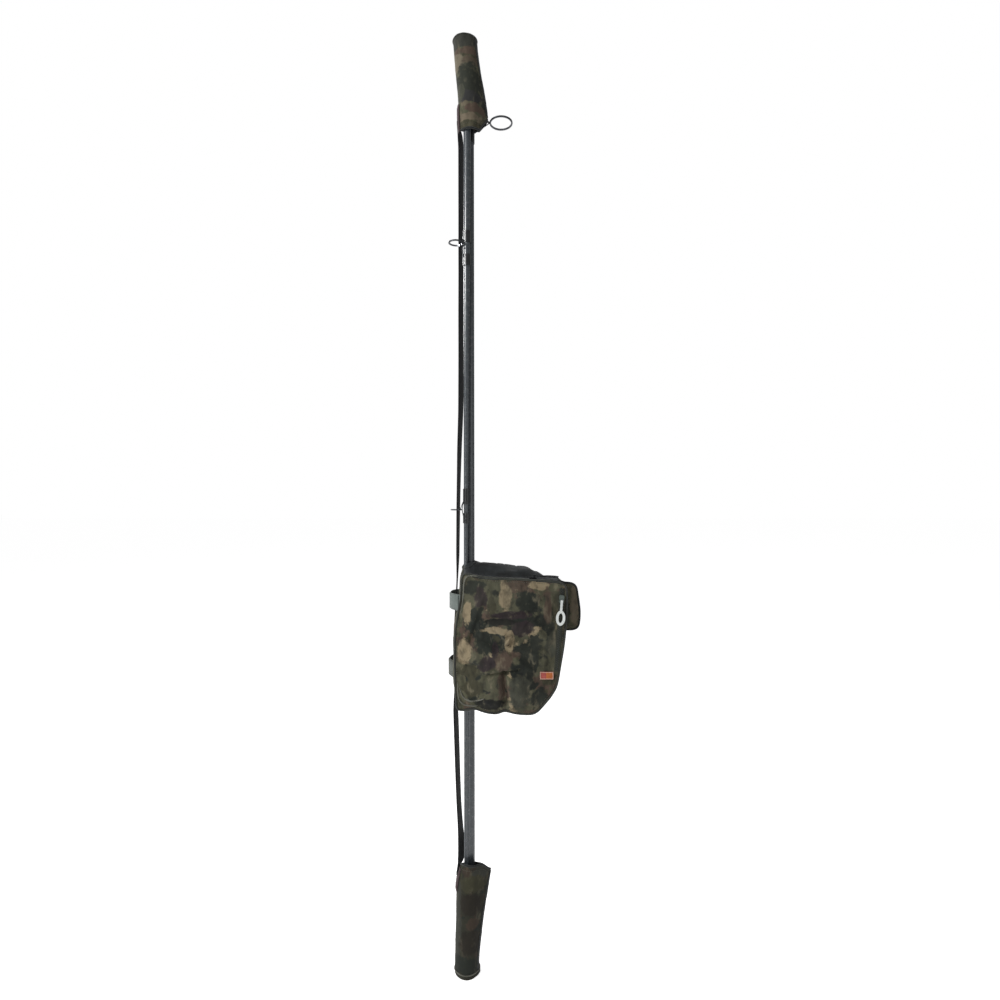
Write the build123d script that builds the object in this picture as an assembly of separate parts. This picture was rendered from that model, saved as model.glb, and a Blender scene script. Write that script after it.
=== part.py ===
from build123d import *
import math
import os

# A two-section carp rod, taken apart for carrying: the two sections lie side by side with their ends in
# neoprene sleeves, a padded case is zipped round the reel, and an elastic strap joins the two sleeves.
# Millimetres. +Z runs up along the butt section, +X points from the rod to the reel, +Y to the case's back.
# The origin is on the butt section's axis, at the flat base of the butt sleeve.

# ---- Rod sections ----
BUTT_BLANK_LOW, BUTT_BLANK_HIGH = 12.0, 1860.0
BUTT_RADIUS_LOW, BUTT_RADIUS_HIGH = 10.4, 7.8
TIP_LOW = Vector(-9.7, -16.0, 25.0)
TIP_HIGH = Vector(-4.4, -16.4, 1858.0)
TIP_RADIUS_LOW, TIP_RADIUS_HIGH = 1.1, 8.0
BLANK_WALL = 1.1
JOINT_COLLAR_LENGTH, JOINT_COLLAR_THICKNESS = 26.0, 0.7
JOINT_WHIPPING = (1775.0, 1790.0)
GRIP_RADIUS, GRIP_LOW, GRIP_HIGH = 11.4, 16.0, 150.0
CAP_RADIUS, CAP_LOW = 11.8, 4.4

# ---- Guide rings ----
RING_PROUD = 0.4            # how far a liner stands proud of its frame, top and bottom
FOOT_THICKNESS, FOOT_WIDTH = 0.9, 3.2
WHIPPING_THICKNESS = 1.2
TIP_GUIDE_ANGLE = 200.0     # the way the tip section's rings point, in degrees from +X
# Each guide: (Z, ring radius, wire radius, reach from the axis, lower foot, upper foot)
BUTT_GUIDE = (1716.5, 23.5, 1.3, 63.0, (1677.0, 1699.0), (1733.0, 1755.0))
LARGE_GUIDES = {
    "tip_ring_large": (1463.0, 15.0, 1.2, 22.8, (1422.0, 1440.0), (1468.0, 1487.0)),
    "tip_ring_medium": (932.0, 12.0, 1.0, 19.6, (907.0, 923.0), (945.0, 972.0)),
}
SMALL_GUIDES = ((575.0, 5.5, 9.0), (125.0, 2.8, 4.6), (60.0, 2.8, 4.5))   # (Z, ring radius, reach)
SMALL_WIRE = 0.7
SMALL_FEET = (7.0, 17.0)    # how far each foot starts and ends above and below a small ring
BUTT_LEG_SPREAD, TIP_LEG_SPREAD = 5.0, 35.0
TIP_RING_RADIUS, TIP_RING_WIRE, TIP_RING_OUT = 3.0, 0.7, 3.6
TIP_TUBE_RADIUS, TIP_TUBE = 1.9, (-3.0, 14.0)

# ---- Reel seat ----
SEAT_RADIUS, SEAT_LOW, SEAT_HIGH = 12.2, 600.0, 742.0
HOOD_RADIUS, HOOD_REACH = 13.8, 20.0
FIXED_HOOD = (612.0, 634.0)
SLIDING_HOOD = (694.0, 711.0)
NUT = (711.3, 725.0)
FOOT = (626.0, 702.0)
FOOT_NEAR, FOOT_FAR = 12.5, 16.5
FOOT_HALF_WIDTH = 8.0
HOOD_HALF_WIDTH = 10.5
KNURLS, KNURL_RADIUS = 12, 0.8
RUNNING_GAP = 0.06
SAFE_GAP = 0.3

# ---- Reel ----
REEL_X = 80.0
STEM_HALF_WIDTH, STEM_Z = 6.0, (638.0, 658.0)
HOUSING = ((58.0, 106.0), (-21.0, 19.0), (608.0, 661.0))
HOUSING_ROUNDING = 7.0
SIDE_PLATE_Y, SIDE_PLATE_RADIUS, SIDE_PLATE_THICKNESS = -22.2, 20.0, 2.4
SHAFT_RADIUS, SHAFT_Z = 3.0, (637.0, 750.0)
SHAFT_BORE_Z = (618.0, 670.0)
ROTOR_RADIUS, ROTOR_LOW, ROTOR_BASE_HIGH = 36.0, 663.0, 672.0
ROTOR_ARM_Y, ROTOR_ARM_HALF_WIDTH, ROTOR_WEB_START = (37.5, 41.0), 8.0, 28.0
BAIL_PIVOT_Z, BAIL_RADIUS, BAIL_WIRE = 716.0, 43.8, 1.2
BAIL_DISC_RADIUS, BAIL_DISC_THICKNESS = 7.5, 2.8
SPOOL_RADIUS, SPOOL_LOW, SPOOL_HIGH = 30.0, 700.0, 742.0
SPOOL_SKIRT, SPOOL_LIP, SPOOL_CORE_RADIUS, SPOOL_LINE_RADIUS = 10.0, 3.0, 22.0, 28.0
SKIRT_HOLLOW_RADIUS, SKIRT_HOLLOW_DEPTH = 26.0, 6.0
DRAG_RADIUS, DRAG_BORE_TOP, DRAG_TOP = 10.0, 752.0, 756.0
CRANK_X, CRANK_Z, CRANK_LENGTH = 84.0, 636.0, 55.0
CRANK_ARM_Y, CRANK_ARM_HALF_WIDTH = (47.0, 52.0), 6.0
AXLE_RADIUS, AXLE_START_Y, AXLE_BORE_LENGTH = 4.0, 8.0, 30.0
PEG_RADIUS, PEG_SHORT_OF_KNOB = 2.0, 3.0
KNOB_RADIUS, KNOB_Y = 12.0, (52.4, 69.0)

# ---- Reel case ----
CASE_HALF_DEPTH, PANEL = 75.0, 4.0
CASE_TOP_LEFT, CASE_LEFT_MIDDLE, CASE_BOTTOM_LEFT = (-16.0, 806.0), (-25.5, 660.0), (-23.5, 545.0)
CASE_CORNERS = [(187.5, 796.0), (186.0, 700.0), (169.0, 597.0), (128.0, 545.0)]
CASE_CORNER_RADII = [18.0, 60.0, 30.0, 22.0]
SPINE_BULGE = 4.0
BINDING = 2.0
ROD_PASSAGE = (-13.5, 11.5, -22.5, 11.5)
TAPE_WIDTH, TAPE_THICKNESS = 9.0, 1.0
SIDE_TAPE = ((179.5, 783.0), (168.6, 625.0))
TOP_TAPE = ((20.0, 804.23), (163.0, 797.2))
TOP_TAPE_Y = -61.0
SIDE_SLIDER_ALONG = 20.0    # distance of the side slider's middle from the tape's upper end
TOP_SLIDER_ALONG = 104.0    # distance of the top slider's middle from the tape's rod end
SLIDER_WIDTH, SLIDER_LENGTH, SLIDER_THICKNESS = 9.5, 15.0, 2.6
EAR_X, EAR_SIZE, EAR_HEIGHT = 3.3, (1.4, 3.4, 4.4), 5.2
PIN_ALONG, PIN_HEIGHT, PIN_RADIUS, PIN_LENGTH = 3.0, 6.6, 0.9, 7.4
PULLER_THICKNESS, EYE_RADIUS, EYE_LENGTH = 2.2, 2.1, 4.4
NECK_WIDTH, NECK_LENGTH, NECK_ALONG = 4.4, 18.0, 13.0
LOOP_OUTER, LOOP_INNER, LOOP_ALONG = (8.8, 14.2), (4.0, 9.2), 35.5
GRAB_TAB_OUTLINE = [(178, 787), (206, 788), (213, 777), (217, 732), (213, 701), (204, 696), (178, 697)]
GRAB_TAB_Y = (-46.0, -30.0)
LABEL_X, LABEL_Z, LABEL_THICKNESS = (137.0, 162.5), (610.5, 624.8), 1.0
WRAP_UPPER, WRAP_LOWER = ((732.0, 766.0), -39.8), ((597.0, 632.0), -42.0)   # (Z range, leftmost X)
WRAP_ENDS_X, WRAP_ENDS_Y, WRAP_MIDDLE_Y, WRAP_THICKNESS = -18.0, (-34.0, 44.0), 6.0, 2.0

# ---- Sleeves: stations of (Z, leftmost X, left radius, rightmost X, right radius, Y of the right side) ----
SLEEVE_WALL = 3.0
TIP_SLEEVE_Y = -7.8
TIP_SLEEVE = [
    (1690.0, -21.3, 22.5, 41.0, 6.5, 0.0),
    (1758.0, -24.0, 22.5, 31.5, 9.0, -3.0),
    (1838.0, -30.5, 22.5, 17.5, 20.0, -8.0),
    (1876.0, -33.0, 22.0, 14.0, 21.0, -8.2),
]
TIP_SLEEVE_TOP = 1879.0
MOUTH_SLANT = ((17.5, 1690.0), (41.0, 1726.5))
BUTT_SLEEVE_Y = -7.2
BUTT_SLEEVE = [
    (3.0, -30.0, 24.5, 20.5, 20.0, -7.2),
    (45.0, -30.0, 24.5, 21.0, 18.0, -7.2),
    (110.0, -28.0, 25.0, 27.0, 13.0, -6.0),
    (224.0, -23.0, 25.0, 46.5, 6.0, -4.0),
]
HEM_HEIGHT, HEM_THICKNESS = 7.0, 1.2
RING_LEG_NOTCH = ((28.0, 41.0), (-4.2, 4.2), (1705.0, 1726.0))
TIP_TAB = ((-25.5, -10.0), (-14.0, 6.0), (1690.0, 1743.0))
BUTT_TAB = ((-27.5, -10.0), (-15.0, 5.0), (168.0, 224.0))

# ---- Elastic strap: stations of (Z, X, Y, turn about Z in degrees) ----
STRAP_WIDTH, STRAP_THICKNESS = 20.0, 1.8
STRAP_UPPER = [
    (1689.7, -24.2, -4.0, 0.0),
    (1645.0, -21.2, 8.0, -22.0),
    (1400.0, -20.6, 13.0, -22.0),
    (1013.0, -23.8, 13.0, -17.0),
    (868.0, -24.8, 11.0, -10.0),
    (815.0, -25.6, 10.0, 0.0),
]
STRAP_MIDDLE = [
    (814.7, -25.6, 10.0, 0.0),
    (750.0, -28.6, 10.0, 0.0),
    (690.0, -31.8, 10.0, 0.0),
    (620.0, -32.9, 10.0, 0.0),
    (545.0, -31.2, 10.0, 0.0),
]
STRAP_LOWER = [
    (544.7, -31.2, 10.0, 0.0),
    (497.0, -29.2, 11.0, -14.0),
    (342.0, -24.2, 12.0, -22.0),
    (252.0, -20.6, 9.0, -26.0),
    (224.3, -25.2, -5.0, 0.0),
]

os.makedirs("parts", exist_ok=True)


def save(node, shape):
    """Write one sub-part's solids."""
    solids = shape.solids()
    export_step(solids[0] if len(solids) == 1 else Compound(children=list(solids)), f"parts/{node}.step")


def between(low, high, share):
    return low + (high - low) * share


def butt_radius(z):
    return between(BUTT_RADIUS_LOW, BUTT_RADIUS_HIGH, (z - BUTT_BLANK_LOW) / (BUTT_BLANK_HIGH - BUTT_BLANK_LOW))


def tip_radius(z):
    return between(TIP_RADIUS_LOW, TIP_RADIUS_HIGH, (z - TIP_LOW.Z) / (TIP_HIGH.Z - TIP_LOW.Z))


def tube(outer, inner, low, high, x=0.0, y=0.0):
    """A straight tube, or a rod where inner is 0, parallel to Z."""
    middle = Pos(x, y, (low + high) / 2)
    body = middle * Cylinder(outer, high - low)
    return body - middle * Cylinder(inner, high - low + 2) if inner else body


def block(x_range, y_range, z_range):
    sizes = [high - low for low, high in (x_range, y_range, z_range)]
    centre = [(high + low) / 2 for low, high in (x_range, y_range, z_range)]
    return Pos(*centre) * Box(*sizes)


def strut(start, end, radius):
    """A round bar from one point to another."""
    start, end = Vector(*start), Vector(*end)
    return Solid.make_cylinder(radius, (end - start).length, Plane(origin=start, z_dir=end - start))


def taper(low, high, radius_low, radius_high):
    return Pos(0, 0, (low + high) / 2) * Cone(radius_low, radius_high, high - low)


# ---------------------------------------------------------------- rod sections
butt_outer = taper(BUTT_BLANK_LOW, BUTT_BLANK_HIGH, BUTT_RADIUS_LOW, BUTT_RADIUS_HIGH)
butt_bore = taper(BUTT_BLANK_LOW - 1, BUTT_BLANK_HIGH + 1, BUTT_RADIUS_LOW - BLANK_WALL,
                  BUTT_RADIUS_HIGH - BLANK_WALL)
save("butt_blank", butt_outer - butt_bore)

grip = tube(GRIP_RADIUS, 0, GRIP_LOW, GRIP_HIGH)
save("butt_grip", chamfer(grip.edges().group_by(Axis.Z)[-1], 1.0) - butt_outer)

cap = tube(CAP_RADIUS, 0, CAP_LOW, GRIP_LOW)
save("butt_cap", fillet(cap.edges().group_by(Axis.Z)[0], 2.5) - butt_outer)

joint_whipping = tube(butt_radius(JOINT_WHIPPING[0]) + JOINT_COLLAR_THICKNESS, 0, *JOINT_WHIPPING)
save("butt_joint_whipping", joint_whipping - butt_outer)

# The tip section is built upright on its own axis, then set beside the butt section.
tip_frame = Location(Plane(origin=TIP_LOW, x_dir=(1, 0, 0), z_dir=TIP_HIGH - TIP_LOW))
tip_length = (TIP_HIGH - TIP_LOW).length
tip_outer = taper(0, tip_length, TIP_RADIUS_LOW, TIP_RADIUS_HIGH)
socket = tube(TIP_RADIUS_HIGH - BLANK_WALL, 0, tip_length - 120, tip_length + 1)
save("tip_blank", tip_frame * (tip_outer - socket))

tip_collar = tube(TIP_RADIUS_HIGH + JOINT_COLLAR_THICKNESS, 0, tip_length - JOINT_COLLAR_LENGTH, tip_length)
save("tip_joint_collar", tip_frame * (tip_collar - tip_outer))


def biggest(shape):
    """The largest solid of a cut, without the slivers that a cut leaves."""
    return shape.solids().sort_by(SortBy.VOLUME)[-1]


def guide(z, ring_radius, wire, reach, low_foot, high_foot, surface, spread):
    """A ring whose axis is along Z, held off the blank on +X by one lower leg and two upper legs.

    The upper legs leave the ring at spread degrees to each side of its near point."""
    centre = Pos(reach, 0, z)
    seam = ring_radius - 1.3 * wire
    liner = centre * (Cylinder(seam, 2 * wire + RING_PROUD) - Cylinder(seam - wire, 10))
    rim = centre * (Cylinder(ring_radius, 2 * wire) - Cylinder(seam, 10))
    outer_edges = rim.edges().filter_by(GeomType.CIRCLE).group_by(SortBy.RADIUS)[-1]
    rim = fillet(outer_edges, 0.6 * wire)
    near = reach - ring_radius + 0.5 * wire
    leg_end = surface + FOOT_THICKNESS + 0.3
    legs = [strut((near, 0, z), (leg_end, 0, low_foot[1] - 3), 0.8 * wire)]
    ring_middle = ring_radius - 0.5 * wire
    for way in (-1, 1):
        angle = math.radians(spread)
        start = (reach - ring_middle * math.cos(angle), way * ring_middle * math.sin(angle), z)
        legs.append(strut(start, (leg_end, way * 0.5, high_foot[0] + 3), 0.8 * wire))
    feet = [block((surface, surface + FOOT_THICKNESS), (-FOOT_WIDTH / 2, FOOT_WIDTH / 2), foot)
            for foot in (low_foot, high_foot)]
    legs = Part() + legs + feet
    return biggest(legs - centre * Cylinder(seam + 0.1, 10) + rim), liner


def whipping(foot, surface_at, frame, blank):
    radius = surface_at(foot[0]) + WHIPPING_THICKNESS
    return tube(radius, 0, foot[0] - 2, foot[1] + 2) - blank - frame


butt_feet = BUTT_GUIDE[-2:]
butt_frame, butt_liner = guide(*BUTT_GUIDE, butt_radius(butt_feet[0][0]), BUTT_LEG_SPREAD)
save("butt_ring_frame", biggest(butt_frame - butt_outer))
save("butt_ring_liner", butt_liner)
butt_wraps = [whipping(foot, butt_radius, butt_frame, butt_outer) for foot in butt_feet]
save("butt_ring_whippings", Part() + butt_wraps)


def tip_guide(z, ring_radius, wire, reach, low_foot, high_foot):
    """One guide of the tip section, with the height along the section's own axis."""
    drop = TIP_LOW.Z
    feet = [(low - drop, high - drop) for low, high in (low_foot, high_foot)]
    turn = Rot(0, 0, TIP_GUIDE_ANGLE)
    surface = tip_radius(low_foot[0]) + 0.25
    surface = max(surface, tip_radius(high_foot[1]) + 0.05)
    frame, liner = guide(z - drop, ring_radius, wire, reach, *feet, surface, TIP_LEG_SPREAD)
    frame, liner = turn * frame, turn * liner
    wraps = [whipping(foot, lambda height: tip_radius(height + drop) + 0.4, frame, tip_outer) for foot in feet]
    return tip_frame * biggest(frame - tip_outer), tip_frame * liner, [tip_frame * wrap for wrap in wraps]


tip_wraps = []
for name, sizes in LARGE_GUIDES.items():
    frame, liner, wraps = tip_guide(*sizes)
    save(f"{name}_frame", frame)
    save(f"{name}_liner", liner)
    tip_wraps += wraps

small_frames, small_liners = [], []
for height, ring_radius, reach in SMALL_GUIDES:
    feet = ((height - SMALL_FEET[1], height - SMALL_FEET[0]), (height + SMALL_FEET[0], height + SMALL_FEET[1]))
    frame, liner, wraps = tip_guide(height, ring_radius, SMALL_WIRE, reach, *feet)
    small_frames.append(frame)
    small_liners.append(liner)
    tip_wraps += wraps
save("small_ring_frames", Part() + small_frames)
save("small_ring_liners", Part() + small_liners)
save("tip_whippings", Part() + tip_wraps)

# The tip ring's tube fits over the blank's end, and its ring leans out to the same side as the guides.
tip_ring = tube(TIP_TUBE_RADIUS, 0, *TIP_TUBE) - tip_outer
tip_ring += Pos(TIP_RING_OUT, 0, TIP_TUBE[0] + 1) * Torus(TIP_RING_RADIUS, TIP_RING_WIRE)
save("tip_ring", tip_frame * (Rot(0, 0, TIP_GUIDE_ANGLE) * tip_ring))

# ---------------------------------------------------------------- reel seat
seat = tube(SEAT_RADIUS, 0, SEAT_LOW, SEAT_HIGH) - butt_outer
save("reel_seat", chamfer(seat.edges().group_by(Axis.Z)[-1], 0.4))


def hood(z_range, pocket_gap, bore_gap):
    """A ring round the seat with a pocket on +X that holds one end of the reel's foot."""
    body = tube(HOOD_RADIUS, 0, *z_range)
    body += block((4, HOOD_REACH), (-HOOD_HALF_WIDTH, HOOD_HALF_WIDTH), z_range)
    body -= tube(SEAT_RADIUS + bore_gap, 0, z_range[0] - 1, z_range[1] + 1)
    half_width = FOOT_HALF_WIDTH + pocket_gap
    pocket_z = (FOOT[0] - pocket_gap, FOOT[1] + pocket_gap)
    return body - block((0, FOOT_FAR + pocket_gap), (-half_width, half_width), pocket_z)


save("seat_fixed_hood", hood(FIXED_HOOD, 0.0, 0.0))
save("seat_sliding_hood", hood(SLIDING_HOOD, SAFE_GAP, RUNNING_GAP))
nut = tube(HOOD_RADIUS, SEAT_RADIUS + RUNNING_GAP, *NUT)
groove = tube(KNURL_RADIUS, 0, NUT[0] + 3, NUT[1] + 1, x=HOOD_RADIUS)
save("seat_nut", nut - [Rot(0, 0, 360 * step / KNURLS) * groove for step in range(KNURLS)])

# ---------------------------------------------------------------- reel
def disc(centre_x, y_range, centre_z, radius):
    """A round plate or pin whose axis is along Y."""
    turned = Pos(centre_x, sum(y_range) / 2, centre_z) * Rot(90, 0, 0)
    return turned * Cylinder(radius, y_range[1] - y_range[0])


foot_plate = block((FOOT_NEAR, FOOT_FAR), (-FOOT_HALF_WIDTH, FOOT_HALF_WIDTH), FOOT)
stem = block((FOOT_FAR - 0.5, HOUSING[0][0]), (-STEM_HALF_WIDTH, STEM_HALF_WIDTH), STEM_Z)
save("reel_foot", foot_plate + fillet(stem.edges().filter_by(Axis.X), 4))

housing = fillet(block(*HOUSING).edges(), HOUSING_ROUNDING)
housing -= tube(SHAFT_RADIUS + RUNNING_GAP, 0, *SHAFT_BORE_Z, x=REEL_X)
bore_start = AXLE_START_Y - SAFE_GAP
crank_bore = disc(CRANK_X, (bore_start, bore_start + AXLE_BORE_LENGTH), CRANK_Z, AXLE_RADIUS + RUNNING_GAP)
save("reel_housing", housing - crank_bore)
plate_y = (SIDE_PLATE_Y - SIDE_PLATE_THICKNESS / 2, SIDE_PLATE_Y + SIDE_PLATE_THICKNESS / 2)
side_plate = disc(CRANK_X, plate_y, CRANK_Z, SIDE_PLATE_RADIUS)
save("reel_side_plate", fillet(side_plate.edges().group_by(Axis.Y)[0], 1.0))

rotor = tube(ROTOR_RADIUS, SHAFT_RADIUS + RUNNING_GAP, ROTOR_LOW, ROTOR_BASE_HIGH, x=REEL_X)
arm_x = (REEL_X - ROTOR_ARM_HALF_WIDTH, REEL_X + ROTOR_ARM_HALF_WIDTH)
for way in (-1, 1):
    arm_y = sorted(way * edge for edge in ROTOR_ARM_Y)
    web_y = sorted((way * ROTOR_WEB_START, way * ROTOR_ARM_Y[1]))
    rotor += block(arm_x, arm_y, (ROTOR_LOW, BAIL_PIVOT_Z + ROTOR_ARM_HALF_WIDTH))
    rotor += block(arm_x, web_y, (ROTOR_LOW, ROTOR_BASE_HIGH))
save("rotor", rotor)

bail_plane = Plane(origin=(REEL_X, 0, BAIL_PIVOT_Z), z_dir=(0, 0, 1))
bail_path = Location(bail_plane) * CenterArc((0, 0), BAIL_RADIUS, -90, 180)
bail = sweep(Plane(origin=bail_path @ 0, z_dir=bail_path % 0) * Circle(BAIL_WIRE), path=bail_path)
disc_near = ROTOR_ARM_Y[1] + SAFE_GAP
for way in (-1, 1):
    disc_y = sorted((way * disc_near, way * (disc_near + BAIL_DISC_THICKNESS)))
    bail += disc(REEL_X, disc_y, BAIL_PIVOT_Z, BAIL_DISC_RADIUS)
save("bail", bail)

skirt_top, lip_bottom = SPOOL_LOW + SPOOL_SKIRT, SPOOL_HIGH - SPOOL_LIP
drum = tube(SPOOL_RADIUS, 0, SPOOL_LOW, skirt_top, x=REEL_X)
drum += tube(SPOOL_CORE_RADIUS, 0, skirt_top, lip_bottom, x=REEL_X)
drum += tube(SPOOL_RADIUS, 0, lip_bottom, SPOOL_HIGH, x=REEL_X)
drum -= tube(SKIRT_HOLLOW_RADIUS, 0, SPOOL_LOW - 1, SPOOL_LOW + SKIRT_HOLLOW_DEPTH, x=REEL_X)
save("spool", drum - tube(SHAFT_RADIUS, 0, SPOOL_LOW - 5, SPOOL_HIGH + 5, x=REEL_X))
save("spool_line", tube(SPOOL_LINE_RADIUS, SPOOL_CORE_RADIUS, skirt_top, lip_bottom, x=REEL_X))
save("spool_shaft", tube(SHAFT_RADIUS, 0, *SHAFT_Z, x=REEL_X))
drag = tube(DRAG_RADIUS, SHAFT_RADIUS + RUNNING_GAP, SPOOL_HIGH + SAFE_GAP, DRAG_BORE_TOP, x=REEL_X)
drag += fillet(tube(DRAG_RADIUS, 0, DRAG_BORE_TOP, DRAG_TOP, x=REEL_X).edges().group_by(Axis.Z)[-1], 2)
save("drag_knob", drag)

knob_z = CRANK_Z - CRANK_LENGTH
axle = disc(CRANK_X, (AXLE_START_Y, CRANK_ARM_Y[0]), CRANK_Z, AXLE_RADIUS)
arm_x = (CRANK_X - CRANK_ARM_HALF_WIDTH, CRANK_X + CRANK_ARM_HALF_WIDTH)
arm = fillet(block(arm_x, CRANK_ARM_Y, (knob_z - 4, CRANK_Z + 7)).edges().filter_by(Axis.Y), 5)
peg = disc(CRANK_X, (CRANK_ARM_Y[1], KNOB_Y[1] - PEG_SHORT_OF_KNOB), knob_z, PEG_RADIUS)
save("crank_arm", axle + arm + peg)
crank_knob = fillet(disc(CRANK_X, KNOB_Y, knob_z, KNOB_RADIUS).edges(), 3)
save("crank_knob", crank_knob - disc(CRANK_X, (KNOB_Y[0] - 1, KNOB_Y[1] - 1), knob_z, PEG_RADIUS + RUNNING_GAP))

# ---------------------------------------------------------------- reel case
def case_face(shift):
    """The case's outline in the XZ plane, with its left edge moved out by shift."""
    left = [(x - shift, z) for x, z in (CASE_BOTTOM_LEFT, CASE_LEFT_MIDDLE, CASE_TOP_LEFT)]
    edge = FilletPolyline(left[2], *CASE_CORNERS, left[0], radius=CASE_CORNER_RADII)
    return make_face(Curve() + [edge, ThreePointArc(*left)])


def along_y(face, low, high):
    """Stretch an outline drawn as (X, Z) from one Y to another."""
    return extrude(Plane.XZ.offset(-low) * face, amount=high - low, dir=(0, 1, 0))


def region(x_range, z_range):
    centre = Pos(sum(x_range) / 2, sum(z_range) / 2)
    return centre * Rectangle(x_range[1] - x_range[0], z_range[1] - z_range[0])


front_face = case_face(0)
gusset_face = case_face(SPINE_BULGE)
wall = gusset_face - offset(gusset_face, -PANEL, kind=Kind.INTERSECTION)
inner_y = CASE_HALF_DEPTH - PANEL
save("case_front", along_y(front_face, -CASE_HALF_DEPTH, -inner_y))
save("case_back", along_y(front_face, inner_y, CASE_HALF_DEPTH))

top_region = region((-60, 178), (789, 850))
spine_region = region((-60, -10), (552, 789))
bottom_region = region((-60, 128), (500, 552))
rod_passage = block(ROD_PASSAGE[:2], ROD_PASSAGE[2:], (500, 850))
save("case_top", along_y(wall & top_region, -inner_y, inner_y) - rod_passage)
save("case_spine", along_y(wall & spine_region, -inner_y, inner_y))
save("case_bottom", along_y(wall & bottom_region, -inner_y, inner_y) - rod_passage)
save("case_side", along_y(wall - top_region - spine_region - bottom_region, -inner_y, inner_y))

edge_face = offset(front_face, BINDING, kind=Kind.INTERSECTION) - front_face
bindings = [along_y(edge_face, -CASE_HALF_DEPTH, -inner_y), along_y(edge_face, inner_y, CASE_HALF_DEPTH)]
save("case_bindings", Part() + bindings)

case_block = along_y(gusset_face, -CASE_HALF_DEPTH, CASE_HALF_DEPTH)


def tape_frame(start, end, normal, height):
    """A frame at the tape's start: X across the tape, Y along it, Z out of the case."""
    along = Vector(end[0] - start[0], 0, end[1] - start[1])
    across = along.cross(Vector(*normal))
    return Plane(origin=(start[0], height, start[1]), x_dir=across, z_dir=normal), along.length


side_plane, side_length = tape_frame(*SIDE_TAPE, (0, -1, 0), -CASE_HALF_DEPTH)
top_slope = Vector(TOP_TAPE[1][0] - TOP_TAPE[0][0], 0, TOP_TAPE[1][1] - TOP_TAPE[0][1])
top_normal = Vector(-top_slope.Z, 0, top_slope.X).normalized()
top_plane, top_length = tape_frame(*TOP_TAPE, tuple(top_normal), TOP_TAPE_Y)


def tape(plane, length):
    return Location(plane) * Pos(0, length / 2, TAPE_THICKNESS / 2) * Box(TAPE_WIDTH, length, TAPE_THICKNESS)


tapes = [tape(side_plane, side_length) - case_block, tape(top_plane, top_length) - case_block]
save("zip_tape", Part() + tapes)

def across_pin(radius, length):
    """A cylinder round the line of the puller's pin."""
    return Pos(0, PIN_ALONG, PIN_HEIGHT) * Rot(0, 90, 0) * Cylinder(radius, length)


def slider():
    """A zip slider on the tape, with two ears that carry the puller's pin."""
    plate_middle = TAPE_THICKNESS + SAFE_GAP + SLIDER_THICKNESS / 2
    plate = Pos(0, 0, plate_middle) * Box(SLIDER_WIDTH, SLIDER_LENGTH, SLIDER_THICKNESS)
    plate = fillet(plate.edges().filter_by(Axis.Z), 2.5)
    for way in (-1, 1):
        plate += Pos(way * EAR_X, PIN_ALONG, EAR_HEIGHT) * Box(*EAR_SIZE)
    return plate + across_pin(PIN_RADIUS, PIN_LENGTH)


def puller():
    """A flat wire-loop puller that hangs from the slider's pin, along the tape."""
    neck = Pos(0, NECK_ALONG, PIN_HEIGHT) * Box(NECK_WIDTH, NECK_LENGTH, PULLER_THICKNESS)
    loop_face = Ellipse(*LOOP_OUTER) - Ellipse(*LOOP_INNER)
    loop = Pos(0, LOOP_ALONG, PIN_HEIGHT) * extrude(loop_face, amount=PULLER_THICKNESS / 2, both=True)
    return across_pin(EYE_RADIUS, EYE_LENGTH) + neck + loop - across_pin(PIN_RADIUS + RUNNING_GAP, 10)


for name, plane, along in (("side", side_plane, SIDE_SLIDER_ALONG), ("top", top_plane, TOP_SLIDER_ALONG)):
    place = Location(plane) * Pos(0, along, 0)
    save(f"zip_slider_{name}", place * slider())
    save(f"zip_puller_{name}", place * puller())

# The grab tab is a padded strip sewn to the side gusset.
tab_face = make_face(Polyline(*GRAB_TAB_OUTLINE, close=True))
tab_edge = offset(tab_face, BINDING, kind=Kind.INTERSECTION) - tab_face
save("grab_tab", along_y(tab_face, *GRAB_TAB_Y) - case_block)
save("grab_tab_binding", biggest(along_y(tab_edge, *GRAB_TAB_Y) - case_block))
save("label_tab", block(LABEL_X, (-CASE_HALF_DEPTH - LABEL_THICKNESS, -CASE_HALF_DEPTH), LABEL_Z))


def wrap_strap(z_range, reach):
    """A hook-and-loop band that bows out from the spine, with room for the elastic strap inside."""
    def bow(inset):
        ends = ((WRAP_ENDS_X, WRAP_ENDS_Y[0] + inset), (WRAP_ENDS_X, WRAP_ENDS_Y[1] - inset))
        arc = ThreePointArc(ends[0], (reach + inset, WRAP_MIDDLE_Y), ends[1])
        return make_face(Curve() + [arc, Line(*ends)])

    band_face = Pos(0, 0, z_range[0]) * (bow(0) - bow(WRAP_THICKNESS))
    return extrude(band_face, amount=z_range[1] - z_range[0]) - case_block


save("wrap_strap_upper", wrap_strap(*WRAP_UPPER))
save("wrap_strap_lower", wrap_strap(*WRAP_LOWER))


# ---------------------------------------------------------------- sleeves
def sleeve_section(station, grow, y):
    z, left, left_radius, right, right_radius, right_y = station
    left_circle = Pos(left + left_radius, y) * Circle(left_radius + grow)
    right_circle = Pos(right - right_radius, right_y) * Circle(right_radius + grow)
    return Pos(0, 0, z) * make_hull((left_circle.edges() + right_circle.edges()))


def sleeve_solid(stations, grow, y):
    return loft([sleeve_section(station, grow, y) for station in stations])


def stretched(stations, low, high):
    """The same stations with the first and last moved to new heights, to run a cut past the ends."""
    first, last = stations[0], stations[-1]
    return [(low, *first[1:]), *stations[1:-1], (high, *last[1:])]


def wider_band(stations, y, shell):
    """The skin just outside a sleeve, from which its hem is cut."""
    return sleeve_solid(stations, HEM_THICKNESS, y) - shell


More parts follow.
